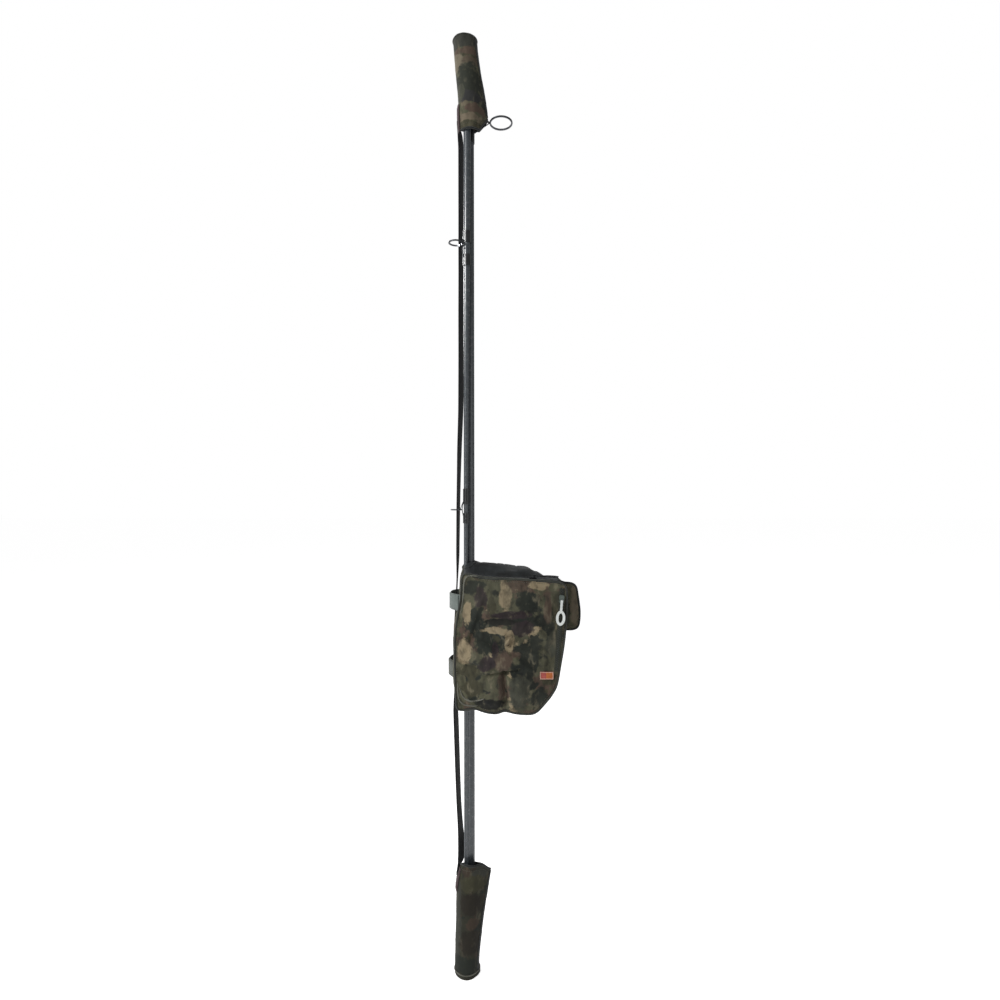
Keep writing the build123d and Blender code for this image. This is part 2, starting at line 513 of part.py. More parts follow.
def sewn_tab(ranges, stations, y):
    """A strip against a sleeve's left side, outside its hem."""
    return (block(*ranges) - sleeve_solid(stations, HEM_THICKNESS, y)).solids().sort_by(Axis.X)[0]


tip_mouth, tip_shoulder = TIP_SLEEVE[0][0], TIP_SLEEVE[-1][0]
tip_shell = sleeve_solid(TIP_SLEEVE, 0, TIP_SLEEVE_Y)
tip_hollow = sleeve_solid(stretched(TIP_SLEEVE, tip_mouth - 1, tip_shoulder - 2), -SLEEVE_WALL, TIP_SLEEVE_Y)
(slant_x, slant_z), (slant_end_x, slant_end_z) = MOUTH_SLANT
slant_slope = (slant_end_z - slant_z) / (slant_end_x - slant_x)


def under_slant(rise):
    """Everything under the slanted part of the tip sleeve's mouth, raised by rise."""
    far = 80.0
    face = make_face(Polyline((slant_x, slant_z + rise), (far, slant_z + rise + slant_slope * (far - slant_x)),
                              (far, 1600), (-far, 1600), (-far, slant_z + rise), close=True))
    return along_y(face, -80, 80)


butt_channel = tube(BUTT_RADIUS_HIGH + 1.0, 0, tip_mouth - 1, tip_shoulder - 2)
tip_sleeve = tip_shell - tip_hollow - under_slant(0) - butt_channel - block(*RING_LEG_NOTCH)
save("tip_sleeve_shell", tip_sleeve)
tip_end = sleeve_section(TIP_SLEEVE[-1], 0, TIP_SLEEVE_Y)
save("tip_sleeve_cap", extrude(tip_end, amount=TIP_SLEEVE_TOP - tip_shoulder))
tip_skin = wider_band(TIP_SLEEVE, TIP_SLEEVE_Y, tip_shell)
save("tip_sleeve_hem", (tip_skin & under_slant(HEM_HEIGHT)) - under_slant(0))
save("tip_sleeve_tab", sewn_tab(TIP_TAB, TIP_SLEEVE, TIP_SLEEVE_Y))

butt_floor, butt_mouth = BUTT_SLEEVE[0][0], BUTT_SLEEVE[-1][0]
butt_shell = sleeve_solid(BUTT_SLEEVE, 0, BUTT_SLEEVE_Y)
butt_hollow = sleeve_solid(stretched(BUTT_SLEEVE, butt_floor + 1, butt_mouth + 1), -SLEEVE_WALL, BUTT_SLEEVE_Y)
save("butt_sleeve_shell", butt_shell - butt_hollow)
butt_end = sleeve_section((0, *BUTT_SLEEVE[0][1:]), 0, BUTT_SLEEVE_Y)
save("butt_sleeve_base", extrude(butt_end, amount=butt_floor))
mouth_slab = block((-80, 80), (-80, 80), (butt_mouth - HEM_HEIGHT, butt_mouth))
save("butt_sleeve_hem", wider_band(BUTT_SLEEVE, BUTT_SLEEVE_Y, butt_shell) & mouth_slab)
save("butt_sleeve_tab", sewn_tab(BUTT_TAB, BUTT_SLEEVE, BUTT_SLEEVE_Y))


# ---------------------------------------------------------------- elastic strap
def strap(stations):
    sections = [Pos(x, y, z) * Rot(0, 0, turn) * Rectangle(STRAP_THICKNESS, STRAP_WIDTH)
                for z, x, y, turn in sorted(stations)]
    return loft(sections, ruled=True)


save("strap_upper", strap(STRAP_UPPER))
save("strap_middle", strap(STRAP_MIDDLE))
save("strap_lower", strap(STRAP_LOWER))
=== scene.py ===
import math

import bpy
import bmesh
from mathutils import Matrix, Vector, noise
from mathutils.bvhtree import BVHTree


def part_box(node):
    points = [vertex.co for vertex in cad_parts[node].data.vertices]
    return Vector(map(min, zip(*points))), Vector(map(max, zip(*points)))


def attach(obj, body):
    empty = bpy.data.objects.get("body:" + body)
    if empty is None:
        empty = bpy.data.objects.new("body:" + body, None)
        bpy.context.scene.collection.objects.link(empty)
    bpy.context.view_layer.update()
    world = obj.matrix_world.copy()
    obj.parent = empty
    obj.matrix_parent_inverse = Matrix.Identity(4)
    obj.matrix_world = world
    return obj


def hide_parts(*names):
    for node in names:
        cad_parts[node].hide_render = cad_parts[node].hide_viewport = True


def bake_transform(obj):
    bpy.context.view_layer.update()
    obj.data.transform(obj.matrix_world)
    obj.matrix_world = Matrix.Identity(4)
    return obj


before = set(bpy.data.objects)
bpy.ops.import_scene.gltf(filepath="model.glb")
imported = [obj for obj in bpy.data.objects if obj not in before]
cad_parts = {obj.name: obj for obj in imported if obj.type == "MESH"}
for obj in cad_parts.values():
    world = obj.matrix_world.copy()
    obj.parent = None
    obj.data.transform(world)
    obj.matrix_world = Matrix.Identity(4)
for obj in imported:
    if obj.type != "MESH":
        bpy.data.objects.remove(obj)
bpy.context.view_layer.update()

# A two-section rod made up for carrying. Lengths below are in millimetres, and MM turns them into metres.
# +X runs from the rod to the reel, +Y to the back of the case, +Z up the rod.
MM = 0.001


def point(x, y, z):
    return Vector((x, y, z)) * MM


def box_mm(node):
    low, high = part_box(node)
    return Vector(low) / MM, Vector(high) / MM


# ---------- small maths
def smooth(low, high, value):
    """0 below low, 1 above high, and an even curve between."""
    share = min(1.0, max(0.0, (value - low) / (high - low)))
    return share * share * (3 - 2 * share)


def fading(low, high, value):
    """1 below low, 0 above high, and an even curve between."""
    return 1 - smooth(low, high, value)


def curve_value(stations, at):
    """A smooth curve through (position, value) pairs, held level past both ends."""
    places = [station[0] for station in stations]
    values = [station[1] for station in stations]
    if at <= places[0]:
        return values[0]
    if at >= places[-1]:
        return values[-1]
    index = max(i for i in range(len(places) - 1) if places[i] <= at)
    slopes = []
    for i in (index, index + 1):
        before, after = max(0, i - 1), min(len(places) - 1, i + 1)
        slopes.append((values[after] - values[before]) / (places[after] - places[before]))
    span = places[index + 1] - places[index]
    t = (at - places[index]) / span
    return ((2 * t ** 3 - 3 * t ** 2 + 1) * values[index] + (t ** 3 - 2 * t ** 2 + t) * span * slopes[0]
            + (3 * t ** 2 - 2 * t ** 3) * values[index + 1] + (t ** 3 - t ** 2) * span * slopes[1])


def columns_at(stations, at, columns):
    """The values at a place of the numbered columns of a table whose column 0 is the place."""
    return [curve_value([(station[0], station[k]) for station in stations], at) for k in columns]


def resample(points, count, closed):
    """Evenly spaced points along a polyline."""
    path = points + [points[0]] if closed else points
    lengths = [0.0]
    for a, b in zip(path, path[1:]):
        lengths.append(lengths[-1] + (b - a).length)
    steps = count if closed else count - 1
    result, index = [], 0
    for step in range(count):
        target = lengths[-1] * step / steps
        while index < len(path) - 2 and lengths[index + 1] < target:
            index += 1
        share = (target - lengths[index]) / max(1e-9, lengths[index + 1] - lengths[index])
        result.append(path[index].lerp(path[index + 1], min(1.0, share)))
    return result


def rounded(points, closed, steps=12):
    """A Catmull-Rom curve through the points."""
    count = len(points)
    result = []
    for i in range(count if closed else count - 1):
        if closed:
            a, b, c, d = [points[(i + k) % count] for k in (-1, 0, 1, 2)]
        else:
            a, b, c, d = [points[min(count - 1, max(0, i + k))] for k in (-1, 0, 1, 2)]
        for t in (step / steps for step in range(steps)):
            result.append(0.5 * ((2 * b) + (c - a) * t + (2 * a - 5 * b + 4 * c - d) * t * t
                                 + (3 * b - 3 * c + d - a) * t ** 3))
    if not closed:
        result.append(points[-1].copy())
    return result


def wobble(place, size, seed=0.0):
    """Smooth noise from -1 to 1; place in millimetres, size is the length of one bump."""
    return noise.noise(Vector(place) / size + Vector((seed, seed * 1.7, seed * 0.6)))


# ---------- mesh helpers
def add_object(name, data):
    made = bpy.data.objects.new(name, data)
    bpy.context.scene.collection.objects.link(made)
    return made


def new_object(name, vertices, faces, material, shade_smooth=True):
    mesh = bpy.data.meshes.new(name)
    mesh.from_pydata([tuple(v) for v in vertices], [], faces)
    mesh.validate()
    mesh.update()
    made = add_object(name, mesh)
    mesh.materials.append(material)
    for polygon in mesh.polygons:
        polygon.use_smooth = shade_smooth
    fix = bmesh.new()
    fix.from_mesh(mesh)
    bmesh.ops.recalc_face_normals(fix, faces=fix.faces)
    fix.to_mesh(mesh)
    fix.free()
    return made


def quads(row_count, width, wrap_rows=False, wrap_columns=False):
    """The faces over rows of points, each row width points long."""
    faces = []
    for r in range(row_count if wrap_rows else row_count - 1):
        below = (r + 1) % row_count
        for c in range(width if wrap_columns else width - 1):
            right = (c + 1) % width
            faces.append((r * width + c, r * width + right, below * width + right, below * width + c))
    return faces


def grid(name, rows, material, wrap_rows=False, wrap_columns=False, end_caps=False):
    """A mesh of quads over rows of points in millimetres."""
    width = len(rows[0])
    faces = quads(len(rows), width, wrap_rows, wrap_columns)
    if end_caps:
        faces.append(tuple(range(width)))
        faces.append(tuple((len(rows) - 1) * width + c for c in reversed(range(width))))
    return new_object(name, [v * MM for row in rows for v in row], faces, material)


def close_end(made, rows, width):
    """Fills the hole that the last of a grid's rows leaves."""
    shell = bmesh.new()
    shell.from_mesh(made.data)
    shell.verts.ensure_lookup_table()
    bmesh.ops.contextual_create(shell, geom=[shell.verts[(len(rows) - 1) * width + c] for c in range(width)])
    shell.to_mesh(made.data)
    shell.free()


def face_away(made, middle):
    """Turns an open sheet's faces so that they look away from a point given in millimetres."""
    middle = middle * MM
    outward = sum(face.area * face.normal.dot(face.center - middle) for face in made.data.polygons)
    if outward < 0:
        made.data.flip_normals()
    return made


def thicken(made, thickness, middle):
    """Gives a sheet its thickness, on the side where middle is."""
    face_away(made, middle)
    solid = made.modifiers.new("solid", "SOLIDIFY")
    solid.thickness = thickness * MM
    solid.offset = -1.0
    solid.use_even_offset = True
    bpy.context.view_layer.update()
    evaluated = made.evaluated_get(bpy.context.evaluated_depsgraph_get())
    mesh = bpy.data.meshes.new_from_object(evaluated)
    made.modifiers.clear()
    made.data = mesh
    for polygon in mesh.polygons:
        polygon.use_smooth = True
    return made


def frames(path, closed, across):
    """Each point of a path, the direction nearest across(i) that is square to the path, and the third one."""
    for i, here in enumerate(path):
        before = path[i - 1] if closed or i else here
        after = path[(i + 1) % len(path)] if closed or i < len(path) - 1 else here
        along = (after - before).normalized()
        side = across(i)
        side = (side - along * side.dot(along)).normalized()
        yield here, side, along.cross(side)


def tube(name, path, radius, material, closed=False, sides=12, flatten=1.0):
    """A tube along a path in millimetres; flatten is its depth from front to back over its height."""
    rows = []
    for i, (here, side, other) in enumerate(frames(path, closed, lambda i: Vector((0, 1, 0)))):
        size = radius(i / (len(path) - 1)) if callable(radius) else radius
        rows.append([here + side * math.cos(a) * size * flatten + other * math.sin(a) * size
                     for a in (math.tau * k / sides for k in range(sides))])
    return grid(name, rows, material, wrap_rows=closed, wrap_columns=True, end_caps=not closed)


def ribbon(name, path, width, thickness, material, across=lambda i: Vector((0, 0, 1))):
    """A flat band: path in millimetres, across(i) is the direction of its width at point i."""
    edge = thickness * 0.45
    half_w, half_t = width / 2, thickness / 2
    under = [(-half_w, -half_t + edge), (-half_w + edge, -half_t), (-half_w / 3, -half_t),
             (half_w / 3, -half_t), (half_w - edge, -half_t), (half_w, -half_t + edge)]
    profile = under + [(-a, -b) for a, b in under]
    rows = [[here + side * a + up * b for a, b in profile] for here, side, up in frames(path, False, across)]
    return grid(name, rows, material, wrap_columns=True, end_caps=True)


def join(name, made):
    """One object from several."""
    joined = bmesh.new()
    for piece in made:
        joined.from_mesh(piece.data)
    mesh = bpy.data.meshes.new(name)
    joined.to_mesh(mesh)
    joined.free()
    result = add_object(name, mesh)
    for material in made[0].data.materials:
        mesh.materials.append(material)
    for piece in made:
        bpy.data.objects.remove(piece)
    return result


def stitches(name, path, outward, spacing=4.2, length=2.6):
    """A row of thread stitches along a path in millimetres, lying on the cloth."""
    total = sum((b - a).length for a, b in zip(path, path[1:]))
    spots = resample(path, max(3, int(total / spacing)), False)
    # Each stitch is four rings of four points: (share of its length, height, half width).
    rings = ((0, -0.1, 0.1), (0.3, 0.35, 0.32), (0.7, 0.35, 0.32), (1.0, -0.1, 0.1))
    vertices, faces = [], []
    for here, following in zip(spots, spots[1:]):
        along = (following - here).normalized()
        normal = outward(here)
        side = along.cross(normal).normalized()
        start = len(vertices)
        for t, lift, half in rings:
            centre = here + along * length * t
            ring = (centre + side * half, centre + normal * (lift + half), centre - side * half,
                    centre - normal * 0.3)
            vertices += [v * MM for v in ring]
        for k in range(3):
            for c in range(4):
                a, b = start + k * 4 + c, start + k * 4 + (c + 1) % 4
                faces.append((a, b, b + 4, a + 4))
        faces.append((start, start + 1, start + 2, start + 3))
        faces.append((start + 15, start + 14, start + 13, start + 12))
    return new_object(name, vertices, faces, STITCH)


# ---------- materials
def linear(red, green, blue):
    """A colour given as 0 to 255 on screen, as Blender's linear colour."""
    parts = [c / 255 for c in (red, green, blue)]
    return tuple(c / 12.92 if c <= 0.04045 else ((c + 0.055) / 1.055) ** 2.4 for c in parts) + (1.0,)


WAVE_SCALE = 0.314      # a wave texture's scale times the length of one of its waves


class Paint:
    """A material being built: add() makes a node, and an input is a number or another node's output."""

    def __init__(self, name):
        self.material = bpy.data.materials.new(name)
        self.material.use_nodes = True
        self.tree = self.material.node_tree
        self.shader = self.tree.nodes["Principled BSDF"]
        self.place = self.add("ShaderNodeTexCoord").outputs["Object"]

    def add(self, kind, inputs=None, **settings):
        node = self.tree.nodes.new(kind)
        for key, value in settings.items():
            setattr(node, key, value)
        for key, value in (inputs or {}).items():
            self.put(node, key, value)
        return node

    def put(self, node, key, value):
        if isinstance(value, bpy.types.NodeSocket):
            self.tree.links.new(value, node.inputs[key])
        else:
            node.inputs[key].default_value = value

    def surface(self, **inputs):
        for key, value in inputs.items():
            self.put(self.shader, key.replace("_", " "), value)
        return self

    def math(self, operation, first, second=0.0):
        return self.add("ShaderNodeMath", {0: first, 1: second}, operation=operation).outputs[0]

    def vector_math(self, operation, inputs):
        return self.add("ShaderNodeVectorMath", inputs, operation=operation)

    def mix(self, share, first, second):
        node = self.add("ShaderNodeMix", {"Factor": share}, data_type="RGBA")
        self.put(node, 6, first)
        self.put(node, 7, second)
        return node.outputs[2]

    def noise(self, scale, detail=3.0, roughness=0.55, place=None, seed=None):
        node = self.add("ShaderNodeTexNoise", noise_dimensions="4D" if seed is not None else "3D")
        inputs = {"Vector": place or self.place, "Scale": scale, "Detail": detail, "Roughness": roughness}
        if seed is not None:
            inputs["W"] = seed
        for key, value in inputs.items():
            self.put(node, key, value)
        return node.outputs["Fac"]

    def ramp(self, value, low, high, low_out=0.0, high_out=1.0):
        return self.add("ShaderNodeMapRange", {"Value": value, "From Min": low, "From Max": high,
                                               "To Min": low_out, "To Max": high_out}).outputs[0]

    def wave(self, direction, period_mm, distortion=0.0):
        inputs = {"Vector": self.place, "Scale": WAVE_SCALE / (period_mm * MM), "Distortion": distortion,
                  "Detail": 1.0}
        return self.add("ShaderNodeTexWave", inputs, bands_direction=direction).outputs["Fac"]

    def bump(self, height, strength, distance_mm):
        node = self.add("ShaderNodeBump", {"Height": height, "Strength": strength,
                                           "Distance": distance_mm * MM})
        self.put(self.shader, "Normal", node.outputs["Normal"])
        return self


OLIVE = linear(82, 81, 64)
DARK_GREEN = linear(36, 40, 35)
TAN = linear(146, 132, 106)
RED_BROWN = linear(84, 70, 60)
MAROON = linear(49, 41, 43)
UMBER = linear(40, 36, 30)
MOSS = linear(63, 61, 46)
PALE_BROWN = linear(108, 98, 82)
GREY_GREEN = linear(66, 67, 57)
SLATE_GREEN = linear(56, 57, 51)
DULL_OLIVE = linear(58, 57, 42)
NEAR_BLACK = linear(20, 21, 20)


def weave(paint, period_mm):
    """Threads that cross."""
    return paint.math("MULTIPLY", paint.wave("X", period_mm), paint.wave("Z", period_mm))


CASE_SHADES = (OLIVE, RED_BROWN, TAN, DARK_GREEN, MOSS)


def camo(name, patches, blotch_mm, seed, weave_mm, shades=CASE_SHADES, knit=False, streaks=1.0):
    """Printed camouflage: seeded blotches, then patches of (centre, half sizes, colour) with ragged edges."""
    paint = Paint(name)
    ragged = paint.noise(1 / (blotch_mm * 0.5 * MM), 5.0, 0.62, seed=seed)
    colour = shades[0]
    layers = ((0.56, 1.0), (0.61, 0.8), (0.545, 1.1), (0.60, 0.9))     # (noise threshold, blotch size)
    for step, (tone, (threshold, size)) in enumerate(zip(shades[1:], layers)):
        field = paint.noise(1 / (blotch_mm * size * MM), 4.0, 0.55, seed=seed + 3.7 * (step + 1))
        colour = paint.mix(paint.ramp(field, threshold, threshold + 0.03), colour, tone)
    for centre, half, tone in patches:
        offset = paint.vector_math("SUBTRACT", {0: paint.place, 1: tuple(c * MM for c in centre)})
        scaled = paint.vector_math("DIVIDE", {0: offset.outputs[0], 1: tuple(h * MM for h in half)})
        distance = paint.vector_math("LENGTH", {0: scaled.outputs[0]}).outputs["Value"]
        edge = paint.math("ADD", distance, paint.math("MULTIPLY", paint.math("SUBTRACT", ragged, 0.5), 1.9))
        colour = paint.mix(paint.ramp(edge, 1.08, 0.88), colour, tone)
    stretched = paint.add("ShaderNodeMapping", {"Vector": paint.place, "Rotation": (0.0, 0.75, 0.0),
                                                "Scale": (0.9, 1.0, 0.42)}).outputs[0]
    bark = paint.noise(1 / (blotch_mm * 0.22 * MM), 4.0, 0.55, place=stretched, seed=seed + 21)
    colour = paint.mix(paint.ramp(bark, 0.50, 0.68, 0.0, 0.62 * streaks), colour, NEAR_BLACK)
    colour = paint.mix(paint.ramp(bark, 0.45, 0.32, 0.0, 0.42 * streaks), colour, linear(138, 130, 108))
    fade = paint.noise(18, 4.0, 0.6, seed=seed + 40)
    colour = paint.mix(paint.ramp(fade, 0.4, 0.7, 0.0, 0.2 * streaks), colour, linear(104, 104, 92))
    threads = paint.noise(1 / (weave_mm * MM), 2.0, 0.6) if knit else weave(paint, weave_mm)
    colour = paint.mix(paint.ramp(threads, 0.0, 1.0, 0.18, 0.0), colour, NEAR_BLACK)
    paint.surface(Base_Color=colour, Roughness=paint.ramp(fade, 0.3, 0.7, 0.72, 0.9))
    paint.surface(Sheen_Weight=0.06, Sheen_Roughness=0.5, Specular_IOR_Level=0.15)
    height = paint.math("ADD", threads, paint.math("MULTIPLY", paint.noise(120, 3.0), 1.4))
    return paint.bump(height, 0.45, 0.35).material


def cloth(name, dark, light, weave_mm, roughness=0.85, sheen=0.2, ribs=None):
    """Plain woven cloth or tape between two colours; ribs is the direction its ribs repeat in."""
    paint = Paint(name)
    wear = paint.noise(35, 4.0, 0.6)
    colour = paint.mix(paint.ramp(wear, 0.35, 0.7), linear(*dark), linear(*light))
    threads = paint.wave(ribs, weave_mm) if ribs else weave(paint, weave_mm)
    colour = paint.mix(paint.ramp(threads, 0.0, 1.0, 0.3, 0.0), colour, NEAR_BLACK)
    paint.surface(Base_Color=colour, Roughness=paint.ramp(wear, 0.3, 0.7, roughness - 0.08, roughness + 0.06))
    paint.surface(Sheen_Weight=sheen, Specular_IOR_Level=0.3)
    return paint.bump(threads, 0.5, 0.3).material


def hard(name, first, second, roughness, metallic=0.0, coat=0.0, grain=60, relief=0.05):
    """Painted, moulded or polished parts, with slight mottling in colour and gloss."""
    paint = Paint(name)
    mottle = paint.noise(grain, 4.0, 0.6)
    paint.surface(Base_Color=paint.mix(paint.ramp(mottle, 0.4, 0.65), linear(*first), linear(*second)))
    paint.surface(Roughness=paint.ramp(mottle, 0.3, 0.7, roughness * 0.85, roughness * 1.2))
    paint.surface(Metallic=metallic, Coat_Weight=coat, Coat_Roughness=0.12)
    return paint.bump(mottle, relief, 0.1).material


def carbon(name):
    """Lacquered carbon: slate grey with fine wrap lines round the blank."""
    paint = Paint(name)
    wrap = paint.wave("Z", 3.4, 0.6)
    mottle = paint.noise(90, 4.0, 0.6)
    colour = paint.mix(paint.ramp(mottle, 0.35, 0.7), linear(60, 65, 69), linear(74, 79, 83))
    colour = paint.mix(paint.ramp(wrap, 0.3, 0.9, 0.0, 0.3), colour, linear(44, 48, 52))
    paint.surface(Base_Color=colour, Roughness=paint.ramp(mottle, 0.3, 0.7, 0.22, 0.3), Metallic=0.0)
    paint.surface(Coat_Weight=0.35, Coat_Roughness=0.22, Specular_IOR_Level=0.6)
    return paint.bump(wrap, 0.12, 0.05).material


CARBON = carbon("lacquered_carbon")
THREAD = hard("varnished_thread", (22, 24, 26), (32, 34, 36), 0.3, coat=0.5, relief=0.2)
GUNMETAL = hard("gunmetal", (58, 60, 63), (78, 80, 84), 0.34, metallic=0.75)
POLISHED = hard("polished_liner", (120, 122, 128), (146, 148, 154), 0.2, metallic=0.9)
BLACK_METAL = hard("black_anodised", (30, 31, 33), (40, 41, 44), 0.32, metallic=0.6)
BRIGHT = hard("bright_zip_metal", (212, 217, 214), (228, 232, 229), 0.32, metallic=0.2, coat=0.3)
PLATE = hard("zip_plate", (84, 94, 88), (112, 120, 114), 0.38, metallic=0.5)
SEAT = hard("moulded_seat", (26, 26, 27), (34, 34, 35), 0.45)
REEL = hard("reel_enamel", (34, 35, 38), (44, 45, 48), 0.35, metallic=0.4, coat=0.3)
SPOOL = hard("spool_alloy", (165, 168, 172), (186, 188, 192), 0.25, metallic=0.9)
KNOB = hard("soft_knob", (26, 26, 26), (34, 33, 33), 0.7, relief=0.2)
LINE = cloth("wound_line", (72, 62, 44), (84, 74, 52), 0.4, ribs="Z")
FOAM = hard("grip_foam", (28, 28, 28), (38, 38, 37), 0.9, grain=700, relief=0.4)
BINDING = cloth("binding_tape", (26, 28, 28), (44, 47, 46), 1.2)
GUSSET = cloth("gusset_cloth", (18, 20, 21), (50, 55, 57), 1.4, sheen=0.1)
PIPING = cloth("piping_cloth", (40, 42, 38), (66, 68, 60), 1.0)
HEM = cloth("pale_hem", (88, 88, 76), (124, 124, 114), 1.0)
TAB = cloth("sewn_tab", (72, 56, 58), (98, 80, 82), 1.1)
ELASTIC = cloth("elastic_webbing", (16, 18, 20), (40, 42, 44), 1.6, ribs="Z")
# Hook-and-loop: the upper wrap's is lighter, and the lower wrap's is a darker copy of the same cloth.
WRAP = cloth("hook_and_loop", (104, 113, 109), (128, 137, 133), 1.1, roughness=0.95)
WRAP_DARKER = cloth("hook_and_loop_darker", (82, 86, 79), (106, 110, 101), 1.1, roughness=0.95)
LABEL = cloth("orange_tag", (178, 92, 46), (200, 116, 62), 0.8)
TAG_LEFT = cloth("red_tag", (158, 66, 60), (190, 96, 88), 0.8)
LABEL_EDGE = cloth("tag_border", (206, 150, 132), (222, 178, 160), 0.8)
STITCH = cloth("stitch_thread", (84, 84, 72), (104, 103, 90), 0.5)
TAPE = cloth("zip_tape_cloth", (40, 42, 34), (62, 64, 52), 0.9)
TEETH = hard("zip_coil", (36, 40, 38), (56, 62, 58), 0.4, coat=0.2)

def patches_at(y, half_y, rows):
    """Patches for camo() at one depth, from rows of (X, Z, half width, half height, colour)."""
    return [((x, y, z), (half_x, half_y, half_z), tone) for x, z, half_x, half_z, tone in rows]


# From the top of each piece down, roughly.
CASE_PATCHES = patches_at(-60, 90, [
    (6, 785, 26, 16, DARK_GREEN),
    (24, 765, 14, 20, MAROON),
    (-4, 752, 16, 14, OLIVE),
]) + patches_at(-60, 60, [
    (46, 752, 9, 24, MOSS),
    (70, 764, 14, 28, TAN),
    (98, 791, 22, 9, RED_BROWN),
    (136, 788, 20, 9, TAN),
    (116, 756, 26, 26, DARK_GREEN),
    (152, 752, 8, 34, RED_BROWN),
    (172, 740, 12, 44, MOSS),
    (84, 734, 40, 9, MAROON),
    (62, 720, 34, 6, NEAR_BLACK),
    (106, 708, 24, 16, MAROON),
    (52, 704, 26, 8, TAN),
    (-2, 734, 8, 22, TAN),
    (79, 682, 9, 22, TAN),
    (33, 676, 21, 24, DARK_GREEN),
    (52, 666, 7, 18, MAROON),
    (-8, 660, 14, 26, TAN),
    (124, 668, 15, 34, DARK_GREEN),
    (160, 676, 16, 24, GREY_GREEN),
    (68, 646, 18, 20, RED_BROWN),
    (36, 640, 16, 16, MAROON),
    (-2, 622, 24, 12, MOSS),
    (40, 606, 20, 16, OLIVE),
    (99, 590, 22, 38, GREY_GREEN),
    (64, 594, 10, 24, RED_BROWN),
    (136, 574, 18, 20, DARK_GREEN),
    (156, 612, 16, 14, MOSS),
    (40, 562, 28, 12, NEAR_BLACK),
    (6, 590, 22, 18, MOSS),
    (-14, 570, 12, 16, OLIVE),
])
TIP_SLEEVE_PATCHES = patches_at(-20, 60, [
    (-10, 1866, 40, 16, SLATE_GREEN),
    (2, 1842, 26, 8, RED_BROWN),
    (-22, 1822, 12, 17, linear(112, 104, 88)),
    (2, 1824, 18, 9, linear(84, 74, 62)),
    (0, 1782, 26, 38, linear(46, 49, 42)),
    (2, 1752, 24, 12, linear(50, 50, 50)),
    (-18, 1762, 8, 16, GREY_GREEN),
    (6, 1730, 20, 10, RED_BROWN),
    (0, 1712, 22, 8, PALE_BROWN),
    (2, 1696, 34, 8, MOSS),
])
BUTT_SLEEVE_PATCHES = patches_at(-20, 60, [
    (22, 208, 22, 12, SLATE_GREEN),
    (4, 190, 26, 22, DULL_OLIVE),
    (2, 150, 24, 26, UMBER),
    (4, 112, 14, 14, linear(62, 52, 43)),
    # Painted highlight: this lighter grey-green band runs down the sleeve's whole left side, where the light
    # falls.
    (-24, 120, 8, 90, SLATE_GREEN),
    (4, 72, 22, 26, UMBER),
    (-4, 28, 30, 20, DARK_GREEN),
])
CASE_CAMO = camo("camo_case", CASE_PATCHES, 46, 2.3, 1.3)
TIP_SHADES = (OLIVE, RED_BROWN, linear(100, 92, 76), linear(44, 47, 41), MOSS)
TIP_CAMO = camo("camo_tip_sleeve", TIP_SLEEVE_PATCHES, 40, 7.9, 0.9, shades=TIP_SHADES, knit=True,
                streaks=0.45)
BUTT_SHADES = (linear(46, 46, 37), linear(58, 49, 41), linear(70, 68, 56), DARK_GREEN, linear(52, 52, 39))
BUTT_CAMO = camo("camo_butt_sleeve", BUTT_SLEEVE_PATCHES, 40, 12.4, 0.9, shades=BUTT_SHADES, knit=True,
                 streaks=0.3)
TAB_PATCHES = patches_at(-40, 60, [(207, 744, 9, 40, PALE_BROWN), (190, 720, 8, 22, GREY_GREEN)])
TAB_CAMO = camo("camo_grab_tab", TAB_PATCHES, 26, 5.1, 1.3, streaks=0.6)

NODE_MATERIALS = (
    (CARBON, "butt_blank tip_blank"),
    (FOAM, "butt_grip"),
    (THREAD, "butt_joint_whipping tip_joint_collar butt_ring_whippings tip_whippings"),
    (GUNMETAL, "butt_ring_frame tip_ring_large_frame tip_ring_medium_frame small_ring_frames tip_ring"),
    (POLISHED, "butt_ring_liner tip_ring_large_liner tip_ring_medium_liner small_ring_liners"),
    (SEAT, "reel_seat"),
    (BLACK_METAL, "butt_cap seat_fixed_hood seat_sliding_hood seat_nut reel_side_plate"),
    (BLACK_METAL, "zip_slider_top zip_puller_top"),
    (REEL, "reel_foot reel_housing rotor crank_arm"),
    (SPOOL, "bail spool spool_shaft"),
    (LINE, "spool_line"),
    (KNOB, "drag_knob crank_knob"),
    (PLATE, "zip_slider_side"),
    (BRIGHT, "zip_puller_side"),
)
for material, node_names in NODE_MATERIALS:
    for node_name in node_names.split():
        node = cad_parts[node_name]
        node.data.materials.clear()
        node.data.materials.append(material)

# ---------- reel case
# The front edge's outline, from the bottom left round by the bottom, right, top and left, as (X, Z).
CASE_OUTLINE = [
    (-23, 560), (-21, 549), (-14, 546), (0, 548), (14, 550.5), (34, 546), (54, 545), (70, 549.5), (92, 545),
    (116, 543.5), (131, 548), (149, 567), (161, 583), (169, 600), (175.5, 636), (181.5, 672), (185, 704),
    (187.5, 745), (188, 772), (185, 787), (176, 793.5), (158, 795.8), (128, 797.6), (92, 799.4), (54, 801.2),
    (24, 803.6), (4, 807), (-6, 808), (-12, 801), (-13.5, 780), (-15, 758), (-19, 735), (-22.5, 715),
    (-25, 692), (-26, 648), (-25.5, 604),
]
CASE_CENTRE = Vector((72, 0, 672))
FRONT_DEPTH, BACK_DEPTH = 74.0, 73.0      # from the middle plane to the edges, away from the spine
SPINE_DEPTH = 58.0                        # the same at the spine, where the case closes round the rod
BACK_DROP = 14.0                          # how much lower the back's top right corner is than the front's
FRONT_CROWN, BACK_CROWN = 7.5, 1.5        # how far the middle of each panel swells
SIDE_ZIP_DEPTH = 75.0                     # the front cloth's depth under the side zip
TOP_ZIP_Y = -61.0                         # the middle of the top zip
CLOTH = 2.4                               # the thickness of the case's padded cloth
OUTLINE_COUNT, PANEL_RINGS, GUSSET_ROWS = 176, 30, 22
